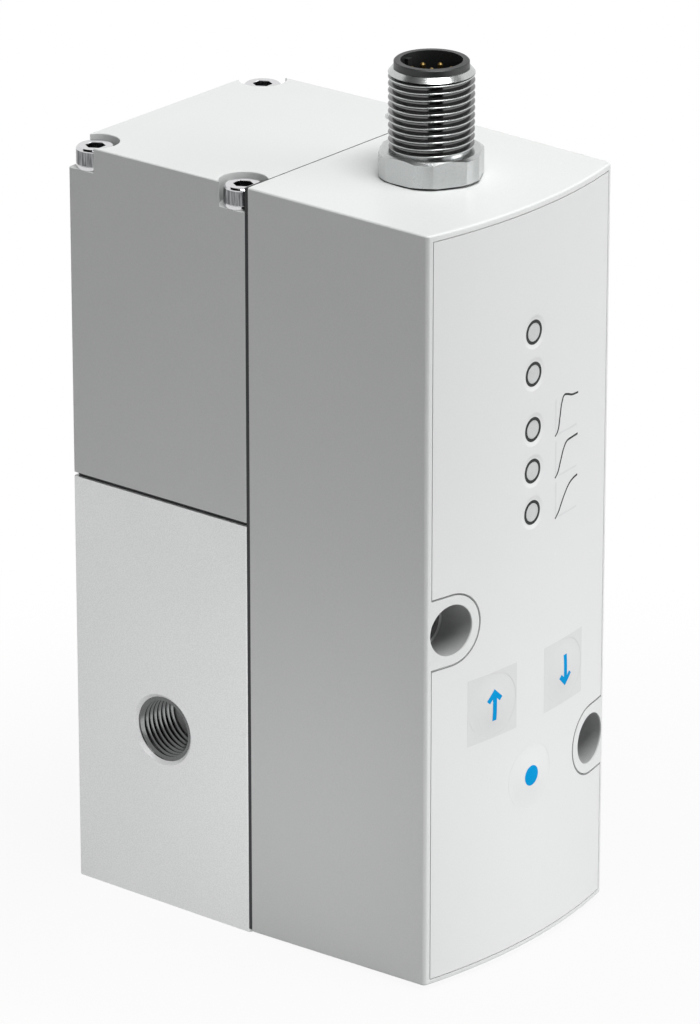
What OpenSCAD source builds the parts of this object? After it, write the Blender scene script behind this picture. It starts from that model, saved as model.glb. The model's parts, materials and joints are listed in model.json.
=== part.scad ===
// Electro-pneumatic pressure regulator: a piloted diaphragm valve with an electronics module on its front.
// Millimetres. X runs across the width, Y from the front (minus) to the back (plus), Z up.
// The origin lies under the middle of the part, on the surface that the valve body stands on.

/* [Rear block] */
// Width of the regulator
body_w = 42; // [40:0.5:50]
// Depth of the rear block, from its back to the joint with the front module
rear_depth = 32.5; // [31:0.5:42]
// Height of the aluminium valve body
body_h = 62.2; // [61:0.1:66]
// Height of the pilot head above the diaphragm
pilot_head_h = 49.2; // [47:0.1:64]
// Radius of the upright edges of the rear block
edge_r = 0.5; // [0.2:0.1:1.5]

/* [Front module] */
// Depth of the front module at its side edges
module_depth = 31; // [29:0.5:38]
// How far the middle of the front face stands out
front_bulge = 2.65; // [2:0.05:3.2]
// How far each side leans in from the back of the module to its front
side_draft = 0.45; // [0.1:0.05:0.8]
// How far the top falls from the back of the module to its front
top_draft = 0.55; // [0.1:0.05:0.9]
// How far the underside rises from the back of the module to its front
bottom_draft = 0.5; // [0.1:0.05:0.9]
// Step of the module's top back edge above the rear block
module_step = 0.13; // [0:0.01:0.3]
// Height of the module's underside at its back
module_foot = 0.23; // [0.1:0.01:0.5]
// Wall of the module
module_wall = 2.2; // [1.8:0.1:2.6]
// Wall of the module's front
front_wall = 3.4; // [3.2:0.1:4]
// Radius of the module's upright front edges
corner_r = 0.9; // [0.4:0.1:1.4]
// Thickness of the gasket between the module and the rear block
joint_t = 0.3; // [0.2:0.05:0.5]
// Inset of that gasket from the outside
joint_inset = 0.8; // [0.5:0.1:1.2]

/* [Ports and mounting] */
// Major diameter of the port thread
port_d = 9.73; // [9:0.01:10.4]
// Chamfer of a port's mouth
port_chamfer = 0.5; // [0.2:0.05:0.6]
// Depth of the port thread
port_depth = 8; // [7:0.5:9]
// Diameter of the passage drilled on from a port
port_drill_d = 6.5; // [5:0.1:7.5]
// Height of the supply port on the left side
supply_z = 27.15; // [24:0.05:30]
// Height of the middle between the two mounting holes
mount_mid_z = 40.03; // [39:0.01:41]
// Half the height between the two mounting holes
mount_dz = 13.43; // [12:0.01:13.8]
// Distance of a mounting hole from its nearer side
mount_inset = 4.95; // [4.8:0.05:5.4]
// Diameter of the mounting holes
mount_d = 4.4; // [3.4:0.1:4.8]
// Diameter of the pocket for a mounting screw's head
pocket_d = 7.5; // [7.2:0.1:8]
// Depth of that pocket from the front face
pocket_depth = 4.7; // [4:0.1:6]
// Outer diameter of the spacer sleeves
sleeve_d = 6.4; // [6:0.1:6.8]

/* [Screws] */
// Thread diameter of the screws
screw_d = 3; // [2.5:0.1:3.2]
// Diameter of a cap screw's head
head_d = 5.5; // [5:0.1:5.8]
// Height of a cap screw's head
head_h = 2.5; // [2.2:0.1:3]
// Hexagon socket, across its flats
socket_af = 2.5; // [2:0.1:3]
// Depth of the hexagon socket
socket_depth = 1.6; // [1.2:0.1:2]
// Thickness of the spring lock washers
washer_t = 0.6; // [0.4:0.1:1]
// Distance of a cap screw from the two nearest faces
screw_inset = 2.75; // [2.7:0.05:3.2]
// Radius of the corner pocket round a cap screw
corner_pocket_r = 3.4; // [3.3:0.05:4]
// Depth of that pocket
corner_pocket_depth = 3.7; // [3:0.05:4]
// How far a cap screw reaches into the valve body
screw_grip = 5.2; // [4:0.1:5.6]
// Distance of a module screw from the nearer side
module_screw_inset = 6.5; // [6.2:0.1:7]
// Height of the lower module screws, and drop of the upper ones below the top
module_screw_z = 6.5; // [6:0.1:7]

/* [Connector] */
// Outer diameter of the connector thread
thread_d = 12; // [11.5:0.1:13]
// Height of the connector's end above its hexagon's underside
thread_top = 15.3; // [13:0.1:18]
// Hexagon across its flats
hex_af = 14; // [14:0.1:15]
// Diameter to which the hexagon's corners are turned
hex_corner_d = 14.86; // [14.6:0.02:16]
// Height of the hexagon
hex_h = 3.7; // [3:0.1:5]
// Thickness of the seal under the hexagon
seal_t = 0.35; // [0.3:0.05:0.6]
// Diameter of the insert's lip
lip_d = 10.45; // [10.2:0.05:10.8]
// Height of that lip
lip_h = 0.97; // [0.6:0.01:1.5]
// Bore of the insert
insert_bore_d = 8.6; // [8:0.1:9]
// Depth of the insert's bore below its lip
insert_depth = 8.5; // [7:0.1:10]
// Diameter of a contact pin
pin_d = 0.8; // [0.6:0.05:1]
// Circle on which the outer pins stand
pin_circle_d = 5.5; // [5:0.1:6]
// Number of pins round the middle one
outer_pins = 7; // [3:1:7]

/* [Front controls] */
// Thickness of the front foil
foil_t = 0.5; // [0.3:0.05:0.6]
// Margin of the foil inside the module's sides
foil_side = 1.5; // [1.2:0.1:2]
// Margin of the foil below the top of the rear block
foil_top = 1.48; // [1.2:0.02:2]
// Height of the foil's lower edge
foil_bottom = 1.62; // [1.4:0.02:2]
// Radius of the foil's cut-out round a mounting hole
notch_r = 5.2; // [4.6:0.1:5.6]
// Radius of a key
key_r = 4.7; // [4.2:0.1:4.8]
// How far a key stands out of the foil
dome_h = 0.35; // [0.2:0.05:0.6]
// Travel of a key
key_travel = 0.4; // [0.2:0.05:0.5]
// Distance of the up and down keys from the middle
key_x = 8.1; // [7.8:0.1:8.4]
// Height of the edit key
edit_z = 26.7; // [26:0.1:27.5]
// Drop of the highest status light below the top of the rear block
light_drop = 19.15; // [17:0.05:22]
// Spacing of the status lights
light_pitch = 6.13; // [5.5:0.01:7]
// Spacing of the two groups of lights
light_group = 8.1; // [7:0.1:9]
// Diameter of a light window
light_d = 2.5; // [2:0.1:2.8]
// Diameter of the embossed disc round a window
light_boss_d = 4.4; // [3.8:0.1:5]
// Height of that disc
light_boss_h = 0.2; // [0.1:0.05:0.3]

/* [Valve] */
// Radius of the bore for the guide plug
plug_r = 9; // [8.6:0.1:9.4]
// Height of the guide plug's top
plug_top = 16; // [14.5:0.1:17]
// Radius of the supply chamber
supply_r = 7.5; // [7:0.1:8]
// Height of the seat's sealing lip
lip_z = 35.4; // [35:0.1:37]
// Radius of the seat's opening
seat_r = 4.2; // [3.9:0.1:4.4]
// Radius of the poppet's lower stem
stem_r = 3.5; // [3.2:0.1:3.7]
// Radius of the vent bore through the poppet
vent_r = 1.7; // [1.2:0.1:2]
// Opening travel of the poppet
poppet_travel = 1.5; // [1:0.1:2]
// Venting travel of the diaphragm plate
vent_travel = 1; // [0.5:0.1:1.5]
// Thickness of the diaphragm
diaphragm_t = 0.6; // [0.4:0.05:0.8]
// Radius of the diaphragm's chambers
chamber_r = 12.5; // [12:0.1:13]
// Radius of the diaphragm's rolled fold
fold_r = 1.3; // [1.1:0.05:1.5]
// Wire radius of the poppet spring
spring_wire_r = 0.45; // [0.3:0.05:0.6]

/* [Pilot valves] */
// Height of the pilot manifold
manifold_h = 8; // [6:0.5:10]
// Distance of each pilot valve from the middle
pilot_x = 6.5; // [6.2:0.1:7]
// Room above the solenoid housings
solenoid_room = 2; // [0.5:0.5:4]
// Radius of an armature
armature_r = 2.5; // [2:0.1:2.8]
// Length of an armature
armature_l = 12.5; // [11:0.1:13]
// Travel of an armature
armature_travel = 0.5; // [0.3:0.05:0.8]

/* [Clearances] */
// Radial clearance of pieces that are seated in each other
seat_gap = 0.03; // [0.02:0.01:0.05]
// Radial clearance of pieces that slide
slide_gap = 0.08; // [0.05:0.01:0.1]
// Clearance round the foil and the pieces behind the front
trim_gap = 0.12; // [0.1:0.01:0.2]

/* [Hidden] */
$fn = 64;

// Overlap of a cutting tool past the face that it cuts
cut = 1;

// Main planes
half_w = body_w/2;
seam_y = (module_depth + front_bulge + dome_h - rear_depth)/2;
back_y = seam_y + rear_depth;
rear_front_y = seam_y + joint_t/2;
module_back_y = seam_y - joint_t/2;
edge_y = seam_y - module_depth;
apex_y = edge_y - front_bulge;
front_r = (half_w*half_w + front_bulge*front_bulge)/(2*front_bulge);
arc_y = apex_y + front_r;
valve_y = (rear_front_y + back_y)/2;
head_z = body_h + diaphragm_t;
rear_h = head_z + pilot_head_h;
module_top = rear_h + module_step;
connector_y = seam_y - module_depth/2;

// Mounting holes and module screws, as [x, z]
mount_x = half_w - mount_inset;
MOUNTS = [[-mount_x, mount_mid_z + mount_dz], [mount_x, mount_mid_z - mount_dz]];
module_screw_x = half_w - module_screw_inset;
MODULE_SCREWS = [for (sx = [-1, 1], z = [module_screw_z, rear_h - module_screw_z]) [sx*module_screw_x, z]];

// Cap screws, as [x, y]
screw_x = half_w - screw_inset;
HEAD_SCREWS = [for (sx = [-1, 1], y = [rear_front_y + screw_inset, back_y - screw_inset]) [sx*screw_x, y]];
shelf_z = rear_h - corner_pocket_depth;
module_screw_grip = 8;
screw_end_z = body_h - screw_grip;

// Valve stack, from the bottom
outlet_z = 2*mount_mid_z - supply_z;
port_mouth_d = port_d + 2*port_chamfer;
plug_foot = 0.3;
ring_t = 1;
ring_z = plug_foot + ring_t;
ring_depth = 0.6;
plug_base = ring_z + ring_t + 0.1;
exhaust_top = plug_foot + port_depth;
web_z = lip_z + 0.6;
seat_shelf = 2;
seat_t = 4;
seat_top = web_z + seat_shelf + seat_t;
seat_out_r = seat_r + 2.8;
seat_skirt_r = seat_r + 1.3;
neck_r = seat_out_r + 1;
poppet_disc_t = 3;
poppet_seal_t = 1;
poppet_disc_z = lip_z - poppet_seal_t - poppet_disc_t;
poppet_disc_r = supply_r - 0.9;
poppet_tube_r = seat_r - 1.3;
poppet_top = seat_top + 1;
poppet_foot = exhaust_top + poppet_travel + 0.2;
plate_t = 2;
plate_z = body_h - plate_t;
fold_mid_r = chamber_r - fold_r - 0.2;
plate_r = fold_mid_r - fold_r - 0.3;
chamber_floor = plate_z - poppet_travel - 3.2;
stud_r = 2;
disc_t = 1.5;
nut_t = 2.5;
nut_af = 7;
pilot_chamber_h = disc_t + nut_t + vent_travel + 1;

// Pilot head, with its walls round the hollow for the solenoids
head_side_wall = 6.5;
head_back_wall = 3;
head_top_wall = 9;
cavity_w = body_w - 2*head_side_wall;
cavity_d = rear_depth - joint_t/2 - head_back_wall;
cavity_z = head_z + pilot_chamber_h + 2.2;
cavity_top = rear_h - head_top_wall;
manifold_top = cavity_z + manifold_h;
solenoid_h = cavity_top - solenoid_room - manifold_top;
solenoid_w = 11;
solenoid_d = 14;
solenoid_wall = 2.5;
coil_r = solenoid_w/2 - 0.8;
nozzle_h = 0.5;
armature_z = manifold_top + nozzle_h;
core_z = armature_z + armature_l + armature_travel + 0.05;
coil_z = manifold_top + 1;
coil_top = manifold_top + solenoid_h - solenoid_wall;
pilot_spring_r = 0.95;
pilot_wire_r = 0.2;
pilot_bore_r = pilot_spring_r + pilot_wire_r + 0.15;
pilot_bore_depth = 4;

// Front module: Y of its front face at x, the front ends of the spacer sleeves, the seats of its screws
function front_y(x) = arc_y - sqrt(front_r*front_r - x*x);
sleeve_y = front_y(mount_x) + pocket_depth;
module_seat_y = front_y(module_screw_x) + foil_t + 2.6;
module_head_h = 2.2;
board_setback = 10.15;
board_t = 1.6;
board_y = apex_y + board_setback;
board_back_y = board_y + board_t;
board_half_w = half_w - 4;
board_z = 12;
board_drop = 13;
board_top = rear_h - board_drop;
BOARD_POSTS = [for (sx = [-1, 1], z = [board_z + 4, board_top - 4]) [sx*(board_half_w - 3.5), z]];
post_r = 2.8;
board_screw_r = 1;
board_screw_grip = 4;
sleeve_boss_r = sleeve_d/2 + 1.6;
screw_boss_r = head_d/2 + 1.65;
switch_w = 6;
switch_body_h = 3.5;
switch_button_h = 0.8;
switch_button_r = 1.7;
key_z = mount_mid_z;
KEYS = [[-key_x, key_z], [key_x, key_z], [0, edit_z]];
key_flange_r = key_r + 0.7;
key_flange_t = 0.6;
key_stem_r = 1.5;
key_sag = key_flange_r*key_flange_r/(2*front_r) + 0.12;
key_flange_z = -foil_t - key_sag;
key_bore_h = 5;
key_bore_run = 2;
key_pocket_z = key_flange_z - key_flange_t - key_travel - 0.1;
key_rim_z = dome_h*0.3;
LIGHTS = [for (i = [0:4]) rear_h - light_drop - i*light_pitch - (i > 1 ? light_group - light_pitch : 0)];
led = [1.6, 1, 1.2];
light_bar_t = 1.2;
sensor_z = (seat_top + chamber_floor)/2;
sensor_w = 9;
sensor_can_t = 5;
nozzle_r = 1.6;
sensor_pocket_r = 2.9;
sensor_pocket_depth = 3;

// Connector
function module_top_at(y) = module_top - top_draft*(module_back_y - y)/(module_back_y - edge_y);
function module_bottom_at(y) = module_foot + bottom_draft*(module_back_y - y)/(module_back_y - edge_y);
connector_seat = module_top_at(connector_y) - 0.16;
hex_z = connector_seat + seal_t;
shell_top = hex_z + thread_top;
shank_r = thread_d/2 - 0.5;
shank_l = 8;
shell_wall = 1.08;
insert_r = thread_d/2 - shell_wall - seat_gap;
insert_floor = shell_top + lip_h - insert_depth;
insert_bottom = hex_z - shank_l;
nut_top = connector_seat - module_wall - 0.35;
connector_nut_t = 3.4;
connector_nut_af = 15;
pin_top = shell_top + lip_h - 1.2;
pin_tail = 3;
PINS = concat([[0, 0]], [for (i = [0:outer_pins - 1]) let (a = 90 + 360*(i + 0.5)/outer_pins)
    pin_circle_d/2*[cos(a), sin(a)]]);

// Finishes
plastic = [0.85, 0.86, 0.86];
foil_grey = [0.9, 0.9, 0.9];
metal = [0.78, 0.79, 0.8];
steel = [0.7, 0.7, 0.72];
brass = [0.8, 0.68, 0.4];
black = [0.12, 0.12, 0.13];
copper = [0.72, 0.43, 0.25];
board_green = [0.1, 0.35, 0.2];

// Helpers

// Upright round bar on the valve's axis, from z0 to z1
module bar(r, z0, z1) {
    translate([0, valve_y, z0]) cylinder(r = r, h = z1 - z0);
}

// Upright tube on the valve's axis
module tube(r_out, r_in, z0, z1) {
    translate([0, valve_y, z0]) rotate_extrude() translate([r_in, 0]) square([r_out - r_in, z1 - z0]);
}

// Ring of round section, with its middle at height z
module o_ring(r_mid, r_section, z) {
    translate([0, valve_y, z]) rotate_extrude() translate([r_mid, 0]) circle(r = r_section);
}

// Round bar along Y at [x, z], from y0 to y1
module cross_bar(r, p, y0, y1) {
    translate([p[0], y1, p[1]]) rotate([90, 0, 0]) cylinder(r = r, h = y1 - y0);
}

// Rectangle with round corners
module round_rect(x0, x1, y0, y1, r) {
    translate([x0 + r, y0]) square([x1 - x0 - 2*r, y1 - y0]);
    translate([x0, y0 + r]) square([x1 - x0, y1 - y0 - 2*r]);
    for (x = [x0 + r, x1 - r], y = [y0 + r, y1 - r]) translate([x, y]) circle(r = r);
}

// Puts its children on the bulged front at [x, z], with their Z axis along the outward normal
module on_front(p) {
    translate([0, arc_y, p[1]]) rotate([0, 0, asin(p[0]/front_r)]) translate([0, -front_r, 0])
        rotate([90, 0, 0]) children();
}

// Draws a shape in front view, [x, z], and runs it along Y from y0 to y1
module front_view(y0, y1) {
    translate([0, y1, 0]) rotate([90, 0, 0]) linear_extrude(y1 - y0) children();
}

// Upright round column with the radius of the front face, set in by a depth
module front_column(depth) {
    translate([0, arc_y, -cut]) cylinder(r = front_r - depth, h = module_top + 2*cut, $fn = 128);
}

// Points on one turn of a wire's section, and the sweep of that section along a helix
function ring_points(mid_r, wire_r, a, z, sides) = [for (j = [0:sides - 1])
    let (b = 360*j/sides, r = mid_r + wire_r*cos(b)) [r*cos(a), r*sin(a), z + wire_r*sin(b)]];
module coil_spring(mid_r, wire_r, length, turns, steps, sides) {
    last = turns*steps;
    points = [for (i = [0:last]) each ring_points(mid_r, wire_r, 360*i/steps, length*i/last, sides)];
    walls = [for (i = [0:last - 1], j = [0:sides - 1]) let (k = (j + 1) % sides)
        [i*sides + j, i*sides + k, (i + 1)*sides + k, (i + 1)*sides + j]];
    start = [for (j = [sides - 1:-1:0]) j];
    end = [for (j = [0:sides - 1]) last*sides + j];
    polyhedron(points, concat(walls, [start, end]), convexity = 10);
}

// Threaded port along X: its mouth at x = 0, running towards minus X
module port_cut() {
    rotate([0, -90, 0]) {
        translate([0, 0, -cut]) cylinder(d = port_mouth_d, h = cut);
        cylinder(d1 = port_mouth_d, d2 = port_d, h = port_chamfer);
        cylinder(d = port_d, h = port_depth);
        cylinder(d = port_drill_d, h = half_w);
    }
}

// Rear block

module rear_outline() {
    round_rect(-half_w, half_w, rear_front_y, back_y, edge_r);
}

module valve_body() {
    color(metal) difference() {
        linear_extrude(body_h) rear_outline();
        bar(plug_r, -cut, plug_top);
        bar(plug_r + ring_depth, ring_z, ring_z + ring_t + 0.1);
        bar(supply_r, plug_top - cut, web_z);
        bar(seat_skirt_r + 0.4, web_z - cut, web_z + seat_shelf + cut);
        bar(seat_out_r, web_z + seat_shelf, seat_top);
        bar(neck_r, seat_top, chamber_floor + cut);
        bar(chamber_r, chamber_floor, body_h + cut);
        translate([half_w, valve_y, outlet_z]) port_cut();
        translate([-half_w, valve_y, supply_z]) mirror([1, 0, 0]) port_cut();
        for (p = MOUNTS) cross_bar(mount_d/2, p, rear_front_y - cut, back_y + cut);
        for (p = HEAD_SCREWS) translate([p[0], p[1], screw_end_z - 0.6])
            cylinder(d = screw_d, h = body_h - screw_end_z + cut + 0.6);
        for (p = MODULE_SCREWS) if (p[1] < body_h)
            cross_bar(screw_d/2, p, rear_front_y - cut, rear_front_y + module_screw_grip + cut);
        cross_bar(nozzle_r*0.75, [0, sensor_z], rear_front_y - cut, valve_y);
        cross_bar(sensor_pocket_r, [0, sensor_z], rear_front_y - cut, rear_front_y + sensor_pocket_depth);
    }
}

module guide_plug() {
    groove_z = (plug_base + plug_top)/2;
    groove_h = 2.2;
    stem_groove_z = (exhaust_top + plug_top)/2;
    color(brass) difference() {
        union() {
            bar(plug_r - seat_gap, plug_base, plug_top);
            bar(plug_r - 1.8, plug_foot, plug_base + cut);
        }
        tube(plug_r + cut, plug_r - 1.4, groove_z - groove_h/2, groove_z + groove_h/2);
        bar(port_d/2, plug_foot - cut, exhaust_top);
        bar(stem_r + slide_gap, exhaust_top - cut, plug_top + cut);
        bar(stem_r + 1.35, stem_groove_z - 0.8, stem_groove_z + 0.8);
        translate([0, valve_y, plug_foot]) cylinder(d1 = port_mouth_d, d2 = port_d, h = port_chamfer);
    }
}

module plug_seal() {
    color(black) o_ring(plug_r - 0.7, 0.66, (plug_base + plug_top)/2);
}

module retaining_ring() {
    ear_gap = 50;
    color(steel) translate([0, valve_y, ring_z]) rotate([0, 0, ear_gap/2])
        rotate_extrude(angle = 360 - ear_gap) translate([plug_r - 1.3, 0])
            square([1.3 + ring_depth - 0.1, ring_t]);
}

module stem_seal() {
    color(black) o_ring(stem_r + slide_gap + 0.62, 0.6, (exhaust_top + plug_top)/2);
}

module poppet_spring() {
    inset = spring_wire_r + seat_gap;
    color(steel) translate([0, valve_y, plug_top + inset])
        coil_spring((stem_r + poppet_disc_r)/2, spring_wire_r, poppet_disc_z - plug_top - 2*inset, 6, 20, 8);
}

module main_poppet() {
    color(brass) difference() {
        union() {
            bar(stem_r, poppet_foot, poppet_disc_z + cut);
            bar(poppet_disc_r, poppet_disc_z, poppet_disc_z + poppet_disc_t);
            bar(poppet_tube_r, poppet_disc_z, poppet_top);
        }
        bar(vent_r, poppet_foot - cut, poppet_top + cut);
    }
}

module poppet_seal() {
    color(black) tube(poppet_disc_r - 0.2, poppet_tube_r + seat_gap, lip_z - poppet_seal_t, lip_z);
}

module valve_seat() {
    lip_w = 0.7;
    shelf = web_z + seat_shelf;
    color(brass) translate([0, valve_y, 0]) rotate_extrude() polygon([
        [seat_r, lip_z], [seat_r + lip_w, lip_z], [seat_skirt_r, lip_z + seat_skirt_r - seat_r - lip_w],
        [seat_skirt_r, shelf], [seat_out_r - seat_gap, shelf], [seat_out_r - seat_gap, seat_top],
        [seat_r, seat_top]]);
}

module diaphragm() {
    sheet_inset = 0.45;
    color(black) difference() {
        union() {
            difference() {
                translate([0, 0, body_h]) linear_extrude(diaphragm_t)
                    round_rect(-half_w + sheet_inset, half_w - sheet_inset, rear_front_y + sheet_inset,
                        back_y - sheet_inset, edge_r);
                tube(fold_mid_r + fold_r - diaphragm_t/2, fold_mid_r - fold_r + diaphragm_t/2,
                    body_h - cut, head_z + cut);
            }
            translate([0, valve_y, head_z]) rotate_extrude() translate([fold_mid_r, 0]) difference() {
                circle(r = fold_r);
                circle(r = fold_r - diaphragm_t);
                translate([-2*fold_r, 0]) square(4*fold_r);
            }
        }
        bar(stud_r + seat_gap, body_h - cut, head_z + cut);
        for (p = HEAD_SCREWS) translate([p[0], p[1], body_h - cut])
            cylinder(d = screw_d + 0.6, h = diaphragm_t + 2*cut);
    }
}

module diaphragm_pusher() {
    color(metal) {
        bar(plate_r, plate_z, body_h);
        bar(poppet_tube_r - 0.3, poppet_top, plate_z + 0.01);
        bar(stud_r, body_h - 0.01, head_z + disc_t + nut_t);
    }
}

module diaphragm_disc() {
    color(metal) tube(plate_r, stud_r + seat_gap, head_z, head_z + disc_t);
}

module diaphragm_nut() {
    color(steel) difference() {
        translate([0, valve_y, head_z + disc_t]) cylinder(d = nut_af/cos(30), h = nut_t, $fn = 6);
        bar(stud_r + seat_gap, head_z, head_z + disc_t + nut_t + cut);
    }
}

// Corner pocket of the pilot head, open to both outer faces
module corner_pocket(p) {
    r = corner_pocket_r;
    h = corner_pocket_depth + cut;
    translate([p[0], p[1], shelf_z]) {
        cylinder(r = r, h = h);
        translate([p[0] > 0 ? 0 : -r, p[1] > valve_y ? 0 : -r, 0]) cube([r, r, h]);
    }
}

module pilot_head() {
    color(plastic) difference() {
        translate([0, 0, head_z]) linear_extrude(rear_h - head_z) rear_outline();
        translate([-cavity_w/2, rear_front_y - cut, cavity_z])
            cube([cavity_w, cavity_d + cut, cavity_top - cavity_z]);
        bar(chamber_r, head_z - cut, head_z + pilot_chamber_h);
        bar(1.5, head_z, cavity_z + cut);
        for (p = HEAD_SCREWS) {
            translate([p[0], p[1], head_z - cut]) cylinder(d = screw_d + 0.3, h = rear_h);
            corner_pocket(p);
        }
        for (p = MODULE_SCREWS) if (p[1] > body_h)
            cross_bar(screw_d/2, p, rear_front_y - cut, rear_front_y + module_screw_grip + cut);
    }
}

module head_screws() {
    chamfer = 0.3;
    under = shelf_z + washer_t;
    top = under + head_h;
    r = head_d/2;
    color(steel) for (p = HEAD_SCREWS) translate([p[0], p[1], 0]) difference() {
        rotate_extrude() polygon([[0, screw_end_z], [screw_d/2 - chamfer, screw_end_z],
            [screw_d/2, screw_end_z + chamfer], [screw_d/2, under], [r, under], [r, top - chamfer],
            [r - chamfer, top], [0, top]]);
        translate([0, 0, top - socket_depth])
            cylinder(d = socket_af/cos(30), h = socket_depth + cut, $fn = 6);
    }
}

module lock_washers() {
    slit = 0.6;
    color(steel) for (p = HEAD_SCREWS) translate([p[0], p[1], shelf_z]) difference() {
        cylinder(d = head_d, h = washer_t);
        translate([0, 0, -cut]) cylinder(d = screw_d + 0.2, h = washer_t + 2*cut);
        rotate([0, 0, 225]) translate([0, -slit/2, -cut]) cube([head_d, slit, washer_t + 2*cut]);
    }
}

module pilot_manifold() {
    margin = 3;
    w = cavity_w - 1;
    d = solenoid_d + 2*margin;
    color(black) difference() {
        union() {
            translate([-w/2, valve_y - d/2, cavity_z]) cube([w, d, manifold_h]);
            for (sx = [-1, 1]) translate([sx*pilot_x, valve_y, manifold_top - 0.01])
                cylinder(r = 0.9, h = nozzle_h + 0.01);
        }
        bar(1.5, cavity_z - cut, cavity_z + manifold_h/2);
        for (sx = [-1, 1]) translate([sx*pilot_x, valve_y, cavity_z + manifold_h/2 - 1])
            cylinder(r = 0.4, h = manifold_h);
        translate([-pilot_x, valve_y, cavity_z + manifold_h/2]) rotate([0, 90, 0])
            cylinder(r = 0.8, h = 2*pilot_x);
    }
}

module solenoid_housings() {
    color(steel) for (sx = [-1, 1]) translate([sx*pilot_x, valve_y, 0]) {
        difference() {
            translate([-solenoid_w/2, -solenoid_d/2, manifold_top])
                cube([solenoid_w, solenoid_d, solenoid_h]);
            translate([0, 0, manifold_top - cut])
                cylinder(r = coil_r + seat_gap, h = coil_top - manifold_top + cut);
        }
        translate([0, 0, core_z]) cylinder(r = armature_r, h = coil_top - core_z + 0.01);
    }
}

module solenoid_coils() {
    color(copper) for (sx = [-1, 1]) translate([sx*pilot_x, valve_y, coil_z]) difference() {
        cylinder(r = coil_r, h = coil_top - coil_z);
        translate([0, 0, -cut]) cylinder(r = armature_r + slide_gap, h = coil_top - coil_z + 2*cut);
    }
}

module armature(x) {
    color(metal) translate([x, valve_y, armature_z]) difference() {
        cylinder(r = armature_r, h = armature_l);
        translate([0, 0, armature_l - pilot_bore_depth])
            cylinder(r = pilot_bore_r, h = pilot_bore_depth + cut);
    }
}

module supply_armature() {
    armature(-pilot_x);
}

module vent_armature() {
    armature(pilot_x);
}

module pilot_spring(x) {
    inset = pilot_wire_r + seat_gap;
    low = armature_z + armature_l - pilot_bore_depth;
    color(steel) translate([x, valve_y, low + inset])
        coil_spring(pilot_spring_r, pilot_wire_r, core_z - low - 2*inset, 5, 14, 6);
}

module supply_spring() {
    pilot_spring(-pilot_x);
}

module vent_spring() {
    pilot_spring(pilot_x);
}

// Front module

module joint_gasket() {
    edge_x = half_w - joint_inset;
    color(black) front_view(module_back_y, rear_front_y) difference() {
        round_rect(-edge_x, edge_x, module_foot + joint_inset, rear_h - joint_inset, edge_r);
        translate([-cavity_w/2, cavity_z]) square([cavity_w, cavity_top - cavity_z]);
        for (p = MOUNTS) translate(p) circle(d = sleeve_d + 0.4);
        for (p = MODULE_SCREWS) translate(p) circle(d = screw_d + 0.6);
        translate([0, sensor_z]) circle(r = sensor_pocket_r);
    }
}

// Plan view of the module: drafted sides, a bulged front and round front edges, whose circle
// is a little wide so that it crosses both faces
module module_plan() {
    slope = side_draft/module_depth;
    lean = sqrt(1 + slope*slope);
    in_r = front_r - corner_r;
    reach = half_w + slope*(arc_y - seam_y) - corner_r*lean;
    drop = -(reach*slope + sqrt(lean*lean*in_r*in_r - reach*reach))/(lean*lean);
    centre = [reach + slope*drop, arc_y + drop];
    side_normal = [1, -slope]/lean;
    front_normal = (centre - [0, arc_y])/in_r;
    corner = [centre, centre + corner_r*side_normal, centre + 1.5*corner_r*(side_normal + front_normal),
        centre + corner_r*front_normal];
    tip_y = apex_y - cut;
    tip_x = half_w - slope*(seam_y - tip_y);
    back_x = half_w - slope*joint_t/2;
    corner_ease = 0.03;
    difference() {
        intersection() {
            polygon([[-back_x, module_back_y], [-tip_x, tip_y], [tip_x, tip_y], [back_x, module_back_y]]);
            translate([0, arc_y]) circle(r = front_r, $fn = 256);
        }
        for (sx = [0, 1]) mirror([sx, 0]) difference() {
            polygon(corner);
            translate(centre) circle(r = corner_r + corner_ease);
        }
    }
}

// Side view of the module, [y, z], set in by a wall
module module_side(wall) {
    y0 = apex_y - cut;
    y1 = module_back_y + (wall > 0 ? cut : 0);
    polygon([[y0, module_bottom_at(y0) + wall], [y1, module_bottom_at(y1) + wall],
        [y1, module_top_at(y1) - wall], [y0, module_top_at(y0) - wall]]);
}

module side_view() {
    translate([-half_w - cut, 0, 0]) rotate([90, 0, 90]) linear_extrude(body_w + 2*cut) children();
}

module module_inside() {
    slope = side_draft/module_depth;
    tip_x = half_w - module_wall - slope*(seam_y - apex_y);
    back_x = half_w - module_wall;
    intersection() {
        linear_extrude(module_top + cut) intersection() {
            polygon([[-back_x, module_back_y + cut], [-tip_x, apex_y], [tip_x, apex_y],
                [back_x, module_back_y + cut]]);
            translate([0, arc_y]) circle(r = front_r - front_wall, $fn = 256);
        }
        side_view() module_side(module_wall);
    }
}

// Outline of the foil in front view, grown by a gap
module foil_outline(gap) {
    difference() {
        translate([-half_w + foil_side - gap, foil_bottom - gap])
            square([body_w - 2*foil_side + 2*gap, rear_h - foil_top - foil_bottom + 2*gap]);
        for (p = MOUNTS) translate(p) {
            circle(r = notch_r - gap);
            translate([p[0] > 0 ? 0 : -half_w, -notch_r + gap]) square([half_w, 2*(notch_r - gap)]);
        }
    }
}

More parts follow.
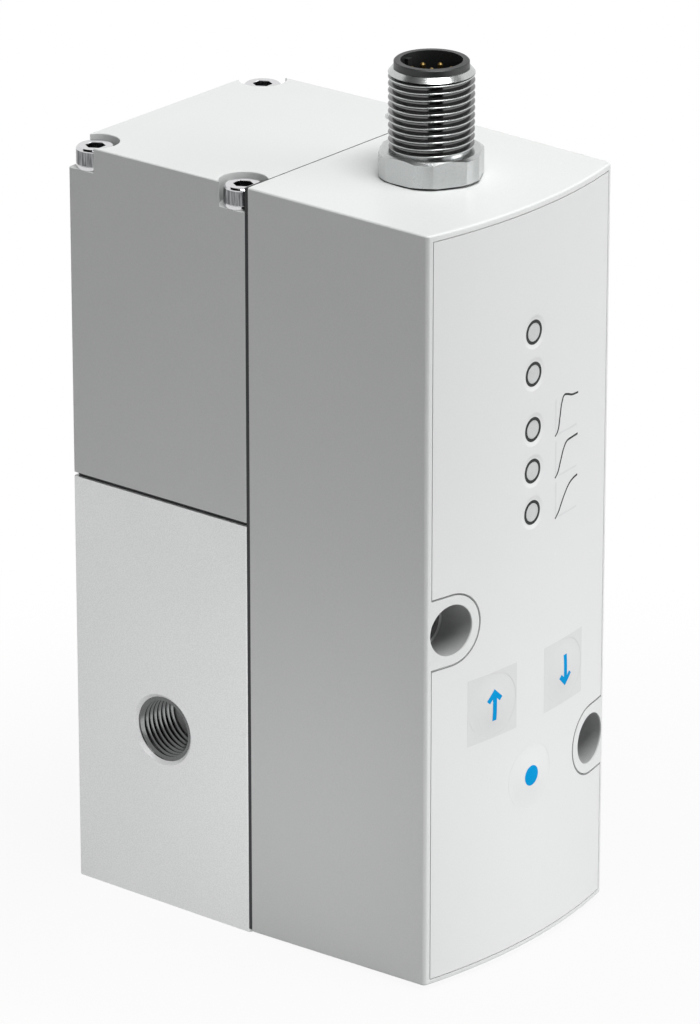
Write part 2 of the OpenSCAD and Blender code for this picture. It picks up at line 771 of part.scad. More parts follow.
module electronics_housing() {
    color(plastic) difference() {
        intersection() {
            linear_extrude(module_top + cut) module_plan();
            side_view() module_side(0);
        }
        difference() {
            module_inside();
            for (p = MOUNTS) cross_bar(sleeve_boss_r, p, apex_y, module_back_y);
            for (p = MODULE_SCREWS) cross_bar(screw_boss_r, p, apex_y, module_back_y);
            for (p = BOARD_POSTS) cross_bar(post_r, p, apex_y, board_y);
        }
        difference() {
            front_view(apex_y - cut, edge_y + front_wall) foil_outline(trim_gap);
            front_column(foil_t);
        }
        for (p = MOUNTS) {
            cross_bar(pocket_d/2, p, apex_y - cut, sleeve_y);
            cross_bar(sleeve_d/2 + seat_gap, p, apex_y, module_back_y + cut);
        }
        for (p = MODULE_SCREWS) {
            cross_bar(head_d/2 + 0.25, p, apex_y - cut, module_seat_y);
            cross_bar(screw_d/2 + 0.15, p, apex_y, module_back_y + cut);
        }
        for (p = BOARD_POSTS) cross_bar(board_screw_r, p, board_y - board_screw_grip - cut, board_y + cut);
        for (p = KEYS) on_front(p) {
            translate([0, 0, key_pocket_z]) cylinder(r = key_flange_r + 0.3, h = key_bore_h);
            translate([0, 0, -front_wall - key_bore_run])
                cylinder(r = key_stem_r + slide_gap, h = key_bore_h);
        }
        for (z = LIGHTS) on_front([0, z]) translate([0, 0, -front_wall - cut])
            cylinder(d = light_d + 0.2, h = front_wall + 2*cut);
        translate([0, connector_y, connector_seat]) cylinder(d = hex_af + 0.2, h = 2);
        translate([0, connector_y, connector_seat - 2*module_wall])
            cylinder(r = shank_r + trim_gap, h = 2*module_wall + cut);
    }
}

module module_screws() {
    recess = 1.2;
    color(steel) for (p = MODULE_SCREWS) difference() {
        union() {
            cross_bar(head_d/2, p, module_seat_y - module_head_h, module_seat_y);
            cross_bar(screw_d/2 - seat_gap, p, module_seat_y - 0.01, rear_front_y + module_screw_grip);
        }
        translate([p[0], module_seat_y - module_head_h + recess, p[1]]) rotate([90, 0, 0])
            cylinder(d = socket_af/cos(30), h = recess + cut, $fn = 6);
    }
}

module spacer_sleeves() {
    color(steel) for (p = MOUNTS) difference() {
        cross_bar(sleeve_d/2, p, sleeve_y, rear_front_y);
        cross_bar(mount_d/2, p, sleeve_y - cut, rear_front_y + cut);
    }
}

module main_board() {
    color(board_green) front_view(board_y, board_back_y) difference() {
        round_rect(-board_half_w, board_half_w, board_z, board_top, 1);
        for (p = MOUNTS) translate(p) circle(r = sleeve_boss_r + 0.4);
        for (p = BOARD_POSTS) translate(p) circle(r = board_screw_r + 0.3);
    }
}

module board_screws() {
    board_head_r = 2.2;
    board_head_h = 1.6;
    color(steel) for (p = BOARD_POSTS) {
        cross_bar(board_head_r, p, board_back_y, board_back_y + board_head_h);
        cross_bar(board_screw_r - seat_gap, p, board_y - board_screw_grip, board_back_y + 0.01);
    }
}

module pressure_sensor() {
    can_y = board_back_y + sensor_can_t;
    nozzle_floor = 2;
    color(metal) {
        translate([-sensor_w/2, board_back_y, sensor_z - sensor_w/2])
            cube([sensor_w, sensor_can_t, sensor_w]);
        difference() {
            cross_bar(nozzle_r, [0, sensor_z], can_y - 0.01, rear_front_y + sensor_pocket_depth - 0.4);
            cross_bar(nozzle_r/2, [0, sensor_z], can_y + nozzle_floor, rear_front_y + sensor_pocket_depth);
        }
    }
}

module sensor_seal() {
    section = (sensor_pocket_r - nozzle_r)/2 - seat_gap;
    color(black) translate([0, rear_front_y + 1.4, sensor_z]) rotate([90, 0, 0])
        rotate_extrude() translate([nozzle_r + section + seat_gap, 0]) circle(r = section);
}

module status_lights() {
    color([0.9, 0.9, 0.8]) for (z = LIGHTS) translate([-led[0]/2, board_y - led[1], z - led[2]/2]) cube(led);
}

module light_pipes() {
    inner_y = apex_y + front_wall + trim_gap;
    bar_z = LIGHTS[4] - light_d;
    color([0.8, 0.82, 0.82]) {
        for (z = LIGHTS) cross_bar(light_d/2, [0, z], apex_y - light_boss_h, board_y - led[1] - trim_gap);
        translate([-light_d, inner_y, bar_z])
            cube([2*light_d, light_bar_t, LIGHTS[0] - LIGHTS[4] + 2*light_d]);
    }
}

module front_foil() {
    color(foil_grey) difference() {
        union() {
            difference() {
                intersection() {
                    front_view(apex_y - cut, edge_y + front_wall) foil_outline(0);
                    front_column(0);
                }
                front_column(foil_t - seat_gap);
            }
            for (z = LIGHTS) cross_bar(light_boss_d/2, [0, z], apex_y - light_boss_h, apex_y + foil_t/2);
        }
        for (p = KEYS) on_front(p) translate([0, 0, -2]) cylinder(r = key_r + seat_gap, h = 4);
        for (z = LIGHTS) cross_bar(light_d/2 + seat_gap, [0, z], apex_y - cut, apex_y + cut);
    }
}

// Key: a flange behind the foil, a crowned round cap and a stem to its switch
module key(p) {
    crown = dome_h - key_rim_z;
    crown_r = (key_r*key_r + crown*crown)/(2*crown);
    reach = board_y - switch_body_h - switch_button_h - key_travel - 0.3 - front_y(p[0]);
    stem_z = -reach/cos(asin(p[0]/front_r));
    flange_low = key_flange_z - key_flange_t;
    on_front(p) rotate_extrude() intersection() {
        polygon([[0, stem_z], [key_stem_r, stem_z], [key_stem_r, flange_low], [key_flange_r, flange_low],
            [key_flange_r, key_flange_z], [key_r, key_flange_z], [key_r, dome_h], [0, dome_h]]);
        translate([0, dome_h - crown_r]) circle(r = crown_r, $fn = 256);
    }
}

module up_key() {
    color(foil_grey) key(KEYS[0]);
}

module down_key() {
    color(foil_grey) key(KEYS[1]);
}

module edit_key() {
    color(foil_grey) key(KEYS[2]);
}

module key_switches() {
    top_y = board_y - switch_body_h;
    color(black) for (p = KEYS) {
        x = (arc_y - top_y)*p[0]/front_r;
        translate([x - switch_w/2, top_y, p[1] - switch_w/2]) cube([switch_w, switch_body_h, switch_w]);
        cross_bar(switch_button_r, [x, p[1]], top_y - switch_button_h, top_y + 0.01);
    }
}

// Connector

module connector_shell() {
    chamfer = 0.6;
    neck_r = thread_d/2 - 0.6;
    neck_h = 0.5;
    turned = hex_corner_d/2;
    top = hex_z + hex_h;
    color(metal) translate([0, connector_y, 0]) difference() {
        union() {
            intersection() {
                translate([0, 0, hex_z]) rotate([0, 0, 30]) cylinder(d = hex_af/cos(30), h = hex_h, $fn = 6);
                rotate_extrude() polygon([[0, hex_z], [turned - 0.2, hex_z], [turned, hex_z + 0.12],
                    [turned, top - 0.35], [turned - 0.6, top], [0, top]]);
            }
            rotate_extrude() polygon([[0, hex_z - shank_l], [shank_r, hex_z - shank_l],
                [shank_r, hex_z + cut], [neck_r, hex_z + cut], [neck_r, top + neck_h],
                [thread_d/2, top + neck_h + chamfer], [thread_d/2, shell_top - chamfer],
                [thread_d/2 - chamfer, shell_top], [0, shell_top]]);
        }
        translate([0, 0, hex_z - shank_l - cut]) cylinder(r = insert_r + seat_gap, h = shell_top);
    }
}

module connector_nut() {
    color(metal) translate([0, connector_y, nut_top - connector_nut_t]) difference() {
        cylinder(d = connector_nut_af/cos(30), h = connector_nut_t, $fn = 6);
        translate([0, 0, -cut]) cylinder(r = shank_r + seat_gap, h = connector_nut_t + 2*cut);
    }
}

module connector_seal() {
    in_r = shank_r + trim_gap;
    color(black) translate([0, connector_y, connector_seat]) rotate_extrude() translate([in_r, 0])
        square([hex_af/2 - 0.3 - in_r, seal_t]);
}

module connector_insert() {
    lip_r = lip_d/2;
    bore_r = insert_bore_d/2;
    top = shell_top + lip_h;
    key_w = 0.9;
    lip_chamfer = 0.15;
    color(black) translate([0, connector_y, 0]) difference() {
        union() {
            difference() {
                rotate_extrude() polygon([[0, insert_bottom], [insert_r, insert_bottom],
                    [insert_r, shell_top], [lip_r, shell_top], [lip_r, top - lip_chamfer],
                    [lip_r - lip_chamfer, top], [0, top]]);
                translate([0, 0, insert_floor]) cylinder(r = bore_r, h = insert_depth + cut);
            }
            translate([-key_w/2, bore_r - 0.55, insert_floor - 0.01]) cube([key_w, 0.7, insert_depth - 0.6]);
        }
        for (p = PINS) translate([p[0], p[1], insert_bottom - cut])
            cylinder(d = pin_d + 2*seat_gap, h = shell_top);
    }
}

module connector_pins() {
    tip = pin_d*0.3;
    color(brass) for (p = PINS) translate([p[0], connector_y + p[1], 0]) rotate_extrude()
        polygon([[0, insert_bottom - pin_tail], [pin_d/2, insert_bottom - pin_tail], [pin_d/2, pin_top - tip],
            [pin_d/2 - tip, pin_top], [0, pin_top]]);
}

valve_body();
guide_plug();
plug_seal();
retaining_ring();
stem_seal();
poppet_spring();
main_poppet();
poppet_seal();
valve_seat();
diaphragm();
diaphragm_pusher();
diaphragm_disc();
diaphragm_nut();
pilot_head();
head_screws();
lock_washers();
pilot_manifold();
solenoid_housings();
solenoid_coils();
supply_armature();
vent_armature();
supply_spring();
vent_spring();
joint_gasket();
electronics_housing();
module_screws();
spacer_sleeves();
main_board();
board_screws();
pressure_sensor();
sensor_seal();
status_lights();
light_pipes();
front_foil();
up_key();
down_key();
edit_key();
key_switches();
connector_shell();
connector_nut();
connector_seal();
connector_insert();
connector_pins();
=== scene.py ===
"""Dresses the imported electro-pneumatic regulator and sets up the studio for its picture.

Sizes are in metres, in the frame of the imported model: X runs across the width, minus Y out of
the front with the keys, and Z up.
"""
import json
import logging
import math
from contextlib import contextmanager
from dataclasses import dataclass, field
from enum import Enum
from typing import Any, Callable, Iterator, Sequence

import bmesh
import bpy
from mathutils import Matrix, Quaternion, Vector


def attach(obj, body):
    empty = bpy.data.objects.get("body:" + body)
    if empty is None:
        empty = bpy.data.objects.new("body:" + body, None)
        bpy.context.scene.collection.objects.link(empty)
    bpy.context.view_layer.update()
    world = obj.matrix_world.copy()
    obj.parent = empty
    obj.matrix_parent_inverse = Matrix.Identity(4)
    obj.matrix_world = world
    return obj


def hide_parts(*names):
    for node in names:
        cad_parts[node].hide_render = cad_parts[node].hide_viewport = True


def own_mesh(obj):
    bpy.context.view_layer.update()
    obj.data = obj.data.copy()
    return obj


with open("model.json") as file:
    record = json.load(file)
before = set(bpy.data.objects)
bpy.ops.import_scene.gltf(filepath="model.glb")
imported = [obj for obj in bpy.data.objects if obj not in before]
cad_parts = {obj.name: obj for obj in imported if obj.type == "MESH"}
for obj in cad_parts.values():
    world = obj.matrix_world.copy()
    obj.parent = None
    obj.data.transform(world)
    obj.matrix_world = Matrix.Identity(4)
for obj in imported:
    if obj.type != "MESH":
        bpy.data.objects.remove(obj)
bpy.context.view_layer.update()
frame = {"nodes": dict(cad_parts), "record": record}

LOG = logging.getLogger("regulator")
MM = 0.001
# Vertices closer together than MERGE are one, and those closer to a plane than ON_PLANE lie on it.
MERGE = 0.001 * MM
ON_PLANE = 0.01 * MM
# Edges sharper than this stay sharp in the shading, in degrees.
SMOOTH = 30.0
# The same for pieces with rounded edges.
SOFT = 40.0
# Sides of round forms, from small to large.
SMALL_ROUND = 48
MID_ROUND = 64
ROUND = 72
FINE_ROUND = 96
# Y of the plug connector's axis.
PLUG_Y = -14.75 * MM
Colour = tuple[float, float, float]
Place = tuple[float, float, float]


class Body(Enum):
    """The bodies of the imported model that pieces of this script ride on."""

    BASE = "base"
    UP = "up_button"
    DOWN = "down_button"
    EDIT = "edit_button"


class Slot(Enum):
    """The record's material slots."""

    ALUMINIUM = "body_aluminium"
    PLASTIC = "housing_plastic"
    FOIL = "foil"
    KEY = "key_grey"
    STEEL = "steel"
    NICKEL = "nickel"
    BRASS = "brass"
    GOLD = "gold"
    RUBBER = "rubber"
    BLACK = "black_plastic"
    COPPER = "copper"
    BOARD = "board"
    PIPE = "light_pipe"


def srgb(red: int, green: int, blue: int) -> Colour:
    """Turns an sRGB colour of 0 to 255 into linear values.

    Args:
        red: Red part.
        green: Green part.
        blue: Blue part.

    Returns:
        The three linear parts.
    """
    parts = [c / 255 for c in (red, green, blue)]
    return tuple(c / 12.92 if c <= 0.04045 else ((c + 0.055) / 1.055) ** 2.4 for c in parts)


class Graph:
    """Short calls for building one node tree."""

    def __init__(self, tree: bpy.types.NodeTree) -> None:
        """Takes the tree and empties it."""
        self.tree = tree
        tree.nodes.clear()

    def add(self, kind: str, settings: dict[str, Any] | None = None, **inputs: Any) -> bpy.types.Node:
        """Adds a node.

        Args:
            kind: Its type name.
            settings: Properties to set before its sockets are used.
            inputs: Values or sockets by input name, with underscores for blanks, or by number as i0, i1.

        Returns:
            The node.
        """
        node = self.tree.nodes.new(kind)
        for key, value in (settings or {}).items():
            setattr(node, key, value)
        for key, value in inputs.items():
            number = key[0] == "i" and key[1:].isdigit()
            socket = node.inputs[int(key[1:]) if number else key.replace("_", " ")]
            if isinstance(value, bpy.types.NodeSocket):
                self.tree.links.new(value, socket)
            elif isinstance(value, tuple) and len(value) == 3 and socket.type == "RGBA":
                socket.default_value = (*value, 1.0)
            else:
                socket.default_value = value
        return node

    @classmethod
    def material(cls, name: str) -> tuple[bpy.types.Material, "Graph"]:
        """Starts a material.

        Args:
            name: Its name.

        Returns:
            The material and its empty graph.
        """
        material = bpy.data.materials.new(name)
        material.use_nodes = True
        return material, cls(material.node_tree)

    def math(self, operation: str, a: Any, b: Any = 0.0) -> bpy.types.NodeSocket:
        """Adds a Math node and returns its output."""
        return self.add("ShaderNodeMath", {"operation": operation}, i0=a, i1=b).outputs[0]

    def ramp(self, value: Any, low: Any, high: Any, out_low: float = 0.0,
             out_high: float = 1.0) -> bpy.types.NodeSocket:
        """Adds a smooth Map Range node.

        Args:
            value: The value to map.
            low: Its lower end.
            high: Its upper end.
            out_low: Result at the lower end.
            out_high: Result at the upper end.

        Returns:
            The result's socket.
        """
        node = self.add("ShaderNodeMapRange", {"interpolation_type": "SMOOTHSTEP"}, Value=value,
                        i1=low, i2=high, i3=out_low, i4=out_high)
        return node.outputs[0]

    def mix(self, factor: Any, a: Any, b: Any) -> bpy.types.NodeSocket:
        """Mixes two colours and returns the result."""
        return self.add("ShaderNodeMix", {"data_type": "RGBA"}, i0=factor, i6=a, i7=b).outputs[2]


class Effect(Enum):
    """Effects that the finishes share."""

    GRAIN = "grain"
    DRIFT = "drift"


class Groups:
    """Node groups of the shared effects, each built once."""

    _made: dict[Effect, bpy.types.NodeTree] = {}

    @classmethod
    def get(cls, effect: Effect) -> bpy.types.NodeTree:
        """Returns an effect's group, and builds it at first use.

        Args:
            effect: The effect.

        Returns:
            The group's tree.
        """
        if effect not in cls._made:
            maker = {Effect.GRAIN: cls._grain, Effect.DRIFT: cls._drift}[effect]
            cls._made[effect] = maker(effect.value)
        return cls._made[effect]

    @staticmethod
    def _frame(name: str, inputs: dict[str, float], output: str) -> tuple[Graph, Any, Any]:
        """Starts a group with float inputs and one float output.

        Args:
            name: Name of the group.
            inputs: Default value by input name.
            output: Name of the output.

        Returns:
            The graph, the input node and the output node.
        """
        tree = bpy.data.node_groups.new(name, "ShaderNodeTree")
        for key, value in inputs.items():
            socket = tree.interface.new_socket(key, in_out="INPUT", socket_type="NodeSocketFloat")
            socket.default_value = value
        tree.interface.new_socket(output, in_out="OUTPUT", socket_type="NodeSocketFloat")
        graph = Graph(tree)
        return graph, graph.add("NodeGroupInput"), graph.add("NodeGroupOutput")

    @classmethod
    def _grain(cls, name: str) -> bpy.types.NodeTree:
        """Fine grain, stretched along one axis where the surface is drawn or brushed.

        Args:
            name: Name of the group.

        Returns:
            The group's tree.
        """
        inputs = {"Scale": 3000.0, "Stretch X": 1.0, "Stretch Y": 1.0, "Stretch Z": 1.0,
                  "Low": 0.35, "High": 0.65}
        graph, given, out = cls._frame(name, inputs, "Mask")
        along = {axis: given.outputs[f"Stretch {axis}"] for axis in "XYZ"}
        stretch = graph.add("ShaderNodeCombineXYZ", **along)
        place = graph.add("ShaderNodeVectorMath", {"operation": "MULTIPLY"},
                          i0=graph.add("ShaderNodeTexCoord").outputs["Object"], i1=stretch.outputs[0])
        noise = graph.add("ShaderNodeTexNoise", Vector=place.outputs[0], Scale=given.outputs["Scale"],
                          Detail=2.5, Roughness=0.6)
        graph.tree.links.new(graph.ramp(noise.outputs[0], given.outputs["Low"], given.outputs["High"]),
                             out.inputs["Mask"])
        return graph.tree

    @classmethod
    def _drift(cls, name: str) -> bpy.types.NodeTree:
        """Slow unevenness of a surface, as from moulding or handling.

        Args:
            name: Name of the group.

        Returns:
            The group's tree.
        """
        graph, given, out = cls._frame(name, {"Scale": 60.0}, "Mask")
        noise = graph.add("ShaderNodeTexNoise", Vector=graph.add("ShaderNodeTexCoord").outputs["Object"],
                          Scale=given.outputs["Scale"], Detail=4.0, Roughness=0.55)
        graph.tree.links.new(graph.ramp(noise.outputs[0], 0.3, 0.7), out.inputs["Mask"])
        return graph.tree


@dataclass(frozen=True)
class Finish:
    """A surface finish: a colour with its grain, a slow drift and a fine relief.

    Attributes:
        name: Name of the material.
        slot: The record's slot for it.
        colour: Main colour, linear.
        speck: Colour of the grain's dark side, linear.
        metallic: 0 for plastic, 1 for bare metal.
        roughness: Lowest and highest roughness over the drift.
        scale: Grains per metre.
        stretch: Stretch of the grain along X, Y and Z.
        relief: Strength of the relief.
        depth: Height of the relief.
        values: Other Principled values by socket name, the same all over.
    """

    name: str
    slot: Slot
    colour: Colour
    speck: Colour
    metallic: float = 0.0
    roughness: tuple[float, float] = (0.4, 0.5)
    scale: float = 3000.0
    stretch: tuple[float, float, float] = (1.0, 1.0, 1.0)
    relief: float = 0.15
    depth: float = 0.03 * MM
    values: tuple[tuple[str, float], ...] = ()

    def material(self) -> bpy.types.Material:
        """Gives the finish's material, and builds it at first use.

        Returns:
            The material.
        """
        known = bpy.data.materials.get(self.name)
        if known:
            return known
        material, graph = Graph.material(self.name)
        x, y, z = self.stretch
        grain = graph.add("ShaderNodeGroup", {"node_tree": Groups.get(Effect.GRAIN)}, Scale=self.scale,
                          Stretch_X=x, Stretch_Y=y, Stretch_Z=z).outputs[0]
        drift = graph.add("ShaderNodeGroup", {"node_tree": Groups.get(Effect.DRIFT)}).outputs[0]
        bump = graph.add("ShaderNodeBump", Strength=self.relief, Distance=self.depth, Height=grain)
        shader = graph.add("ShaderNodeBsdfPrincipled", Base_Color=graph.mix(grain, self.speck, self.colour),
                           Roughness=graph.ramp(drift, 0.0, 1.0, *self.roughness), Metallic=self.metallic,
                           Normal=bump.outputs[0])
        for key, value in self.values:
            shader.inputs[key].default_value = value
        graph.add("ShaderNodeOutputMaterial", Surface=shader.outputs[0])
        material.diffuse_color = (*self.colour, 1.0)
        return material


def ink(name: str, colour: Colour, speck: Colour, roughness: tuple[float, float],
        shine: float = 0.5) -> Finish:
    """Makes the finish of a print on the foil.

    Args:
        name: Name of the material.
        colour: Main colour, linear.
        speck: Colour of the grain's dark side, linear.
        roughness: Lowest and highest roughness.
        shine: Its Specular IOR Level.

    Returns:
        The finish.
    """
    return Finish(name, Slot.FOIL, colour, speck, roughness=roughness, scale=6000.0, relief=0.04,
                  depth=0.01 * MM, values=(("Specular IOR Level", shine),))


class Finishes:
    """Every finish of the regulator."""

    ALUMINIUM = Finish("blasted_aluminium", Slot.ALUMINIUM, srgb(230, 231, 231), srgb(220, 221, 221),
                       metallic=0.6, roughness=(0.5, 0.56), scale=5200.0, relief=0.14)
    # Painted shade: aluminium darkened for the threads inside the side ports.
    BORE_SHADE_ALUMINIUM = Finish("aluminium_painted_bore_shade", Slot.ALUMINIUM, srgb(106, 107, 107), srgb(96, 97, 97),
                           metallic=1.0, roughness=(0.15, 0.21), scale=5000.0, relief=0.04)
    PLASTIC = Finish("moulded_plastic", Slot.PLASTIC, srgb(220, 222, 221), srgb(217, 219, 218),
                     roughness=(0.4, 0.46), scale=4500.0, relief=0.08, depth=0.02 * MM)
    # Painted shade: a darker plastic that stands for the shade inside the screw pockets.
    POCKET_SHADE = Finish("pocket_painted_shade", Slot.PLASTIC, srgb(164, 165, 165), srgb(160, 161, 161),
                    roughness=(0.5, 0.56), scale=4500.0, relief=0.08, depth=0.02 * MM)
    FOIL = Finish("printed_foil", Slot.FOIL, srgb(222, 223, 223), srgb(220, 221, 221),
                  roughness=(0.34, 0.4), scale=6000.0, relief=0.05, depth=0.01 * MM)
    KEY = Finish("key_print", Slot.KEY, srgb(213, 214, 214), srgb(210, 211, 211),
                 roughness=(0.34, 0.4), scale=6000.0, relief=0.05, depth=0.01 * MM)
    BLUE = ink("blue_print", srgb(0, 149, 211), srgb(0, 144, 205), (0.55, 0.6), 0.04)
    DARK = ink("dark_print", srgb(44, 46, 46), srgb(40, 42, 42), (0.5, 0.56), 0.2)
    PALE = ink("pale_print", srgb(214, 216, 216), srgb(211, 213, 213), (0.36, 0.42))
    # Painted shadow: the grey of the line along the foil's edge round the mounting holes.
    EDGE = ink("painted_edge_shadow", srgb(122, 124, 124), srgb(118, 120, 120), (0.5, 0.56), 0.2)
    # The knurl's relief is real; its darker colour is painted shade on the screw heads' sides.
    KNURL = Finish("knurl_with_painted_shade", Slot.STEEL, srgb(150, 151, 153), srgb(88, 89, 91), metallic=1.0,
                   roughness=(0.16, 0.22), scale=4200.0, stretch=(1.0, 1.0, 0.06), relief=0.25)
    STEEL = Finish("bright_zinc", Slot.STEEL, srgb(214, 214, 216), srgb(208, 208, 210), metallic=1.0,
                   roughness=(0.1, 0.13), scale=5000.0, relief=0.02, depth=0.01 * MM)
    NICKEL = Finish("nickel_plate", Slot.NICKEL, srgb(195, 197, 197), srgb(188, 190, 190), metallic=1.0,
                    roughness=(0.22, 0.28), scale=5000.0, relief=0.03, depth=0.01 * MM)
    # Painted dark reflection: darker nickel for the thread's flanks and roots.
    THREAD = Finish("thread_nickel_painted_dark", Slot.NICKEL, srgb(110, 111, 110), srgb(104, 105, 104), metallic=1.0,
                    roughness=(0.13, 0.17), scale=5000.0, relief=0.03, depth=0.01 * MM)
    BRASS = Finish("turned_brass", Slot.BRASS, srgb(216, 184, 112), srgb(196, 164, 96), metallic=1.0,
                   roughness=(0.24, 0.34), stretch=(0.05, 0.05, 1.0), relief=0.1)
    # Gold darkened as painted shade, for the pins deep in the plug's insert.
    GOLD = Finish("gold_with_painted_shade", Slot.GOLD, srgb(118, 99, 60), srgb(108, 90, 54), metallic=1.0,
                  roughness=(0.42, 0.5), scale=4000.0)
    RUBBER = Finish("rubber", Slot.RUBBER, srgb(46, 46, 48), srgb(38, 38, 40), roughness=(0.6, 0.72),
                    relief=0.2)
    BLACK = Finish("black_moulding", Slot.BLACK, srgb(36, 37, 38), srgb(30, 31, 32),
                   roughness=(0.36, 0.46), scale=3500.0)
    COPPER = Finish("wound_copper", Slot.COPPER, srgb(196, 118, 72), srgb(150, 82, 46), metallic=1.0,
                    roughness=(0.26, 0.36), stretch=(0.02, 0.02, 1.0), relief=0.3)
    BOARD = Finish("solder_mask", Slot.BOARD, srgb(38, 104, 62), srgb(30, 88, 52),
                   roughness=(0.3, 0.4), scale=1500.0)
    PIPE = Finish("milky_window", Slot.PIPE, srgb(200, 202, 202), srgb(194, 196, 196),
                  roughness=(0.28, 0.34), scale=4000.0, relief=0.05, values=(("Coat Weight", 0.2),))
    BY_SLOT = {f.slot.value: f for f in (ALUMINIUM, PLASTIC, FOIL, KEY, STEEL, NICKEL, BRASS, GOLD,
                                         RUBBER, BLACK, COPPER, BOARD, PIPE)}


class Bench:
    """Modelling operators with one object at hand.

    Attributes:
        FLAT: Faces at a smaller angle than this are joined, in degrees.
        SHARP: Edges at a larger angle than this can be bevelled, in degrees.
        CUT: How close to a cutting plane a vertex is taken to lie on it.
    """

    FLAT = 0.5
    SHARP = 25.0
    CUT = 1e-8

    @staticmethod
    def clear() -> None:
        """Deselects everything."""
        bpy.ops.object.select_all(action="DESELECT")

    @classmethod
    def take(cls, obj: bpy.types.Object) -> None:
        """Selects one object and makes it the active one.

        Args:
            obj: The object.
        """
        cls.clear()
        obj.select_set(True)
        bpy.context.view_layer.objects.active = obj

    @classmethod
    def start(cls, name: str, operator: Callable[..., Any], sides: Sequence[float] = (1.0, 1.0, 1.0),
              **values: Any) -> bpy.types.Object:
        """Adds a primitive.

        Args:
            name: Name of the new object.
            operator: The primitive's operator.
            sides: Factors on its size along X, Y and Z.
            values: The operator's settings.

        Returns:
            The new object.
        """
        cls.clear()
        operator(**values)
        obj = bpy.context.active_object
        obj.name = obj.data.name = name
        obj.scale = sides
        bpy.ops.object.transform_apply(location=True, rotation=True, scale=True)
        return obj

    @classmethod
    def copy_of(cls, node: str, name: str) -> bpy.types.Object:
        """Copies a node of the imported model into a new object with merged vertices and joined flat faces.

        Args:
            node: The node to copy.
            name: Name of the copy.

        Returns:
            The copy.
        """
        obj = bpy.data.objects.new(name, frame["nodes"][node].data.copy())
        obj.data.name = name
        bpy.context.scene.collection.objects.link(obj)
        cls.take(obj)
        bpy.ops.mesh.customdata_custom_splitnormals_clear()
        with cls.editing(obj):
            bpy.ops.mesh.remove_doubles(threshold=MERGE)
            bpy.ops.mesh.dissolve_limited(angle_limit=math.radians(cls.FLAT))
        return obj

    @classmethod
    @contextmanager
    def editing(cls, obj: bpy.types.Object, mode: str = "FACE") -> Iterator[None]:
        """Holds an object in edit mode with all of it selected.

        Args:
            obj: The object.
            mode: What is selected: VERT, EDGE or FACE.
        """
        cls.take(obj)
        bpy.ops.object.mode_set(mode="EDIT")
        bpy.ops.mesh.select_mode(type=mode)
        bpy.ops.mesh.select_all(action="SELECT")
        try:
            yield
        finally:
            bpy.ops.object.mode_set(mode="OBJECT")

    @staticmethod
    def pick(obj: bpy.types.Object, test: Callable[[Any], bool], kind: str = "faces") -> int:
        """Selects the faces, edges or vertices that pass a test, in edit mode.

        Args:
            obj: The object in edit mode.
            test: Takes an element and says whether it is selected.
            kind: "faces", "edges" or "verts".

        Returns:
            How many are selected.
        """
        bpy.ops.mesh.select_all(action="DESELECT")
        mesh = bmesh.from_edit_mesh(obj.data)
        chosen = [e for e in getattr(mesh, kind) if test(e)]
        for element in chosen:
            element.select_set(True)
        bmesh.update_edit_mesh(obj.data)
        return len(chosen)

    @classmethod
    def apply(cls, obj: bpy.types.Object, kind: str, **values: Any) -> None:
        """Adds a modifier and applies it.

        Args:
            obj: The object.
            kind: The modifier's type.
            values: Its settings.
        """
        cls.take(obj)
        modifier = obj.modifiers.new(kind.title(), kind)
        for key, value in values.items():
            setattr(modifier, key, value)
        bpy.ops.object.modifier_apply(modifier=modifier.name)

    @classmethod
    def combine(cls, obj: bpy.types.Object, tool: bpy.types.Object, operation: str) -> None:
        """Joins an object with a tool body by a boolean, and removes the tool.

        Args:
            obj: The object that is kept.
            tool: The tool body.
            operation: DIFFERENCE, INTERSECT or UNION.
        """
        cls.apply(obj, "BOOLEAN", object=tool, operation=operation, solver="EXACT")
        mesh = tool.data
        bpy.data.objects.remove(tool)
        bpy.data.meshes.remove(mesh)

    @classmethod
    def cut(cls, obj: bpy.types.Object, place: Sequence[float], normal: Sequence[float],
            **flags: bool) -> None:
        """Cuts an object along a plane.

        Args:
            obj: The object.
            place: A point of the plane.
            normal: The plane's normal.
            flags: Which side is cleared and whether the cut is filled, as the operator takes them.
        """
        with cls.editing(obj):
            bpy.ops.mesh.bisect(plane_co=place, plane_no=normal, threshold=cls.CUT, **flags)

    @classmethod
    def soften(cls, obj: bpy.types.Object, width: float, test: Callable[[Any], bool],
               segments: int = 2) -> None:
        """Bevels the sharp edges that pass a test.

        Args:
            obj: The object.
            width: Width of the bevel.
            test: Takes an edge.
            segments: Faces across the bevel.
        """
        sharp = math.radians(cls.SHARP)

        def chosen(edge: Any) -> bool:
            """Says whether an edge is sharp and passes the test."""
            return len(edge.link_faces) == 2 and edge.calc_face_angle(0) > sharp and test(edge)

        with cls.editing(obj, "EDGE"):
            if cls.pick(obj, chosen, "edges"):
                bpy.ops.mesh.bevel(offset_type="OFFSET", offset=width, segments=segments, affect="EDGES",
                                   clamp_overlap=True)

    @classmethod
    def outward(cls, obj: bpy.types.Object) -> None:
        """Merges doubles and turns all faces outwards.

        Args:
            obj: The object.
        """
        with cls.editing(obj):
            bpy.ops.mesh.remove_doubles(threshold=MERGE)
            bpy.ops.mesh.normals_make_consistent(inside=False)

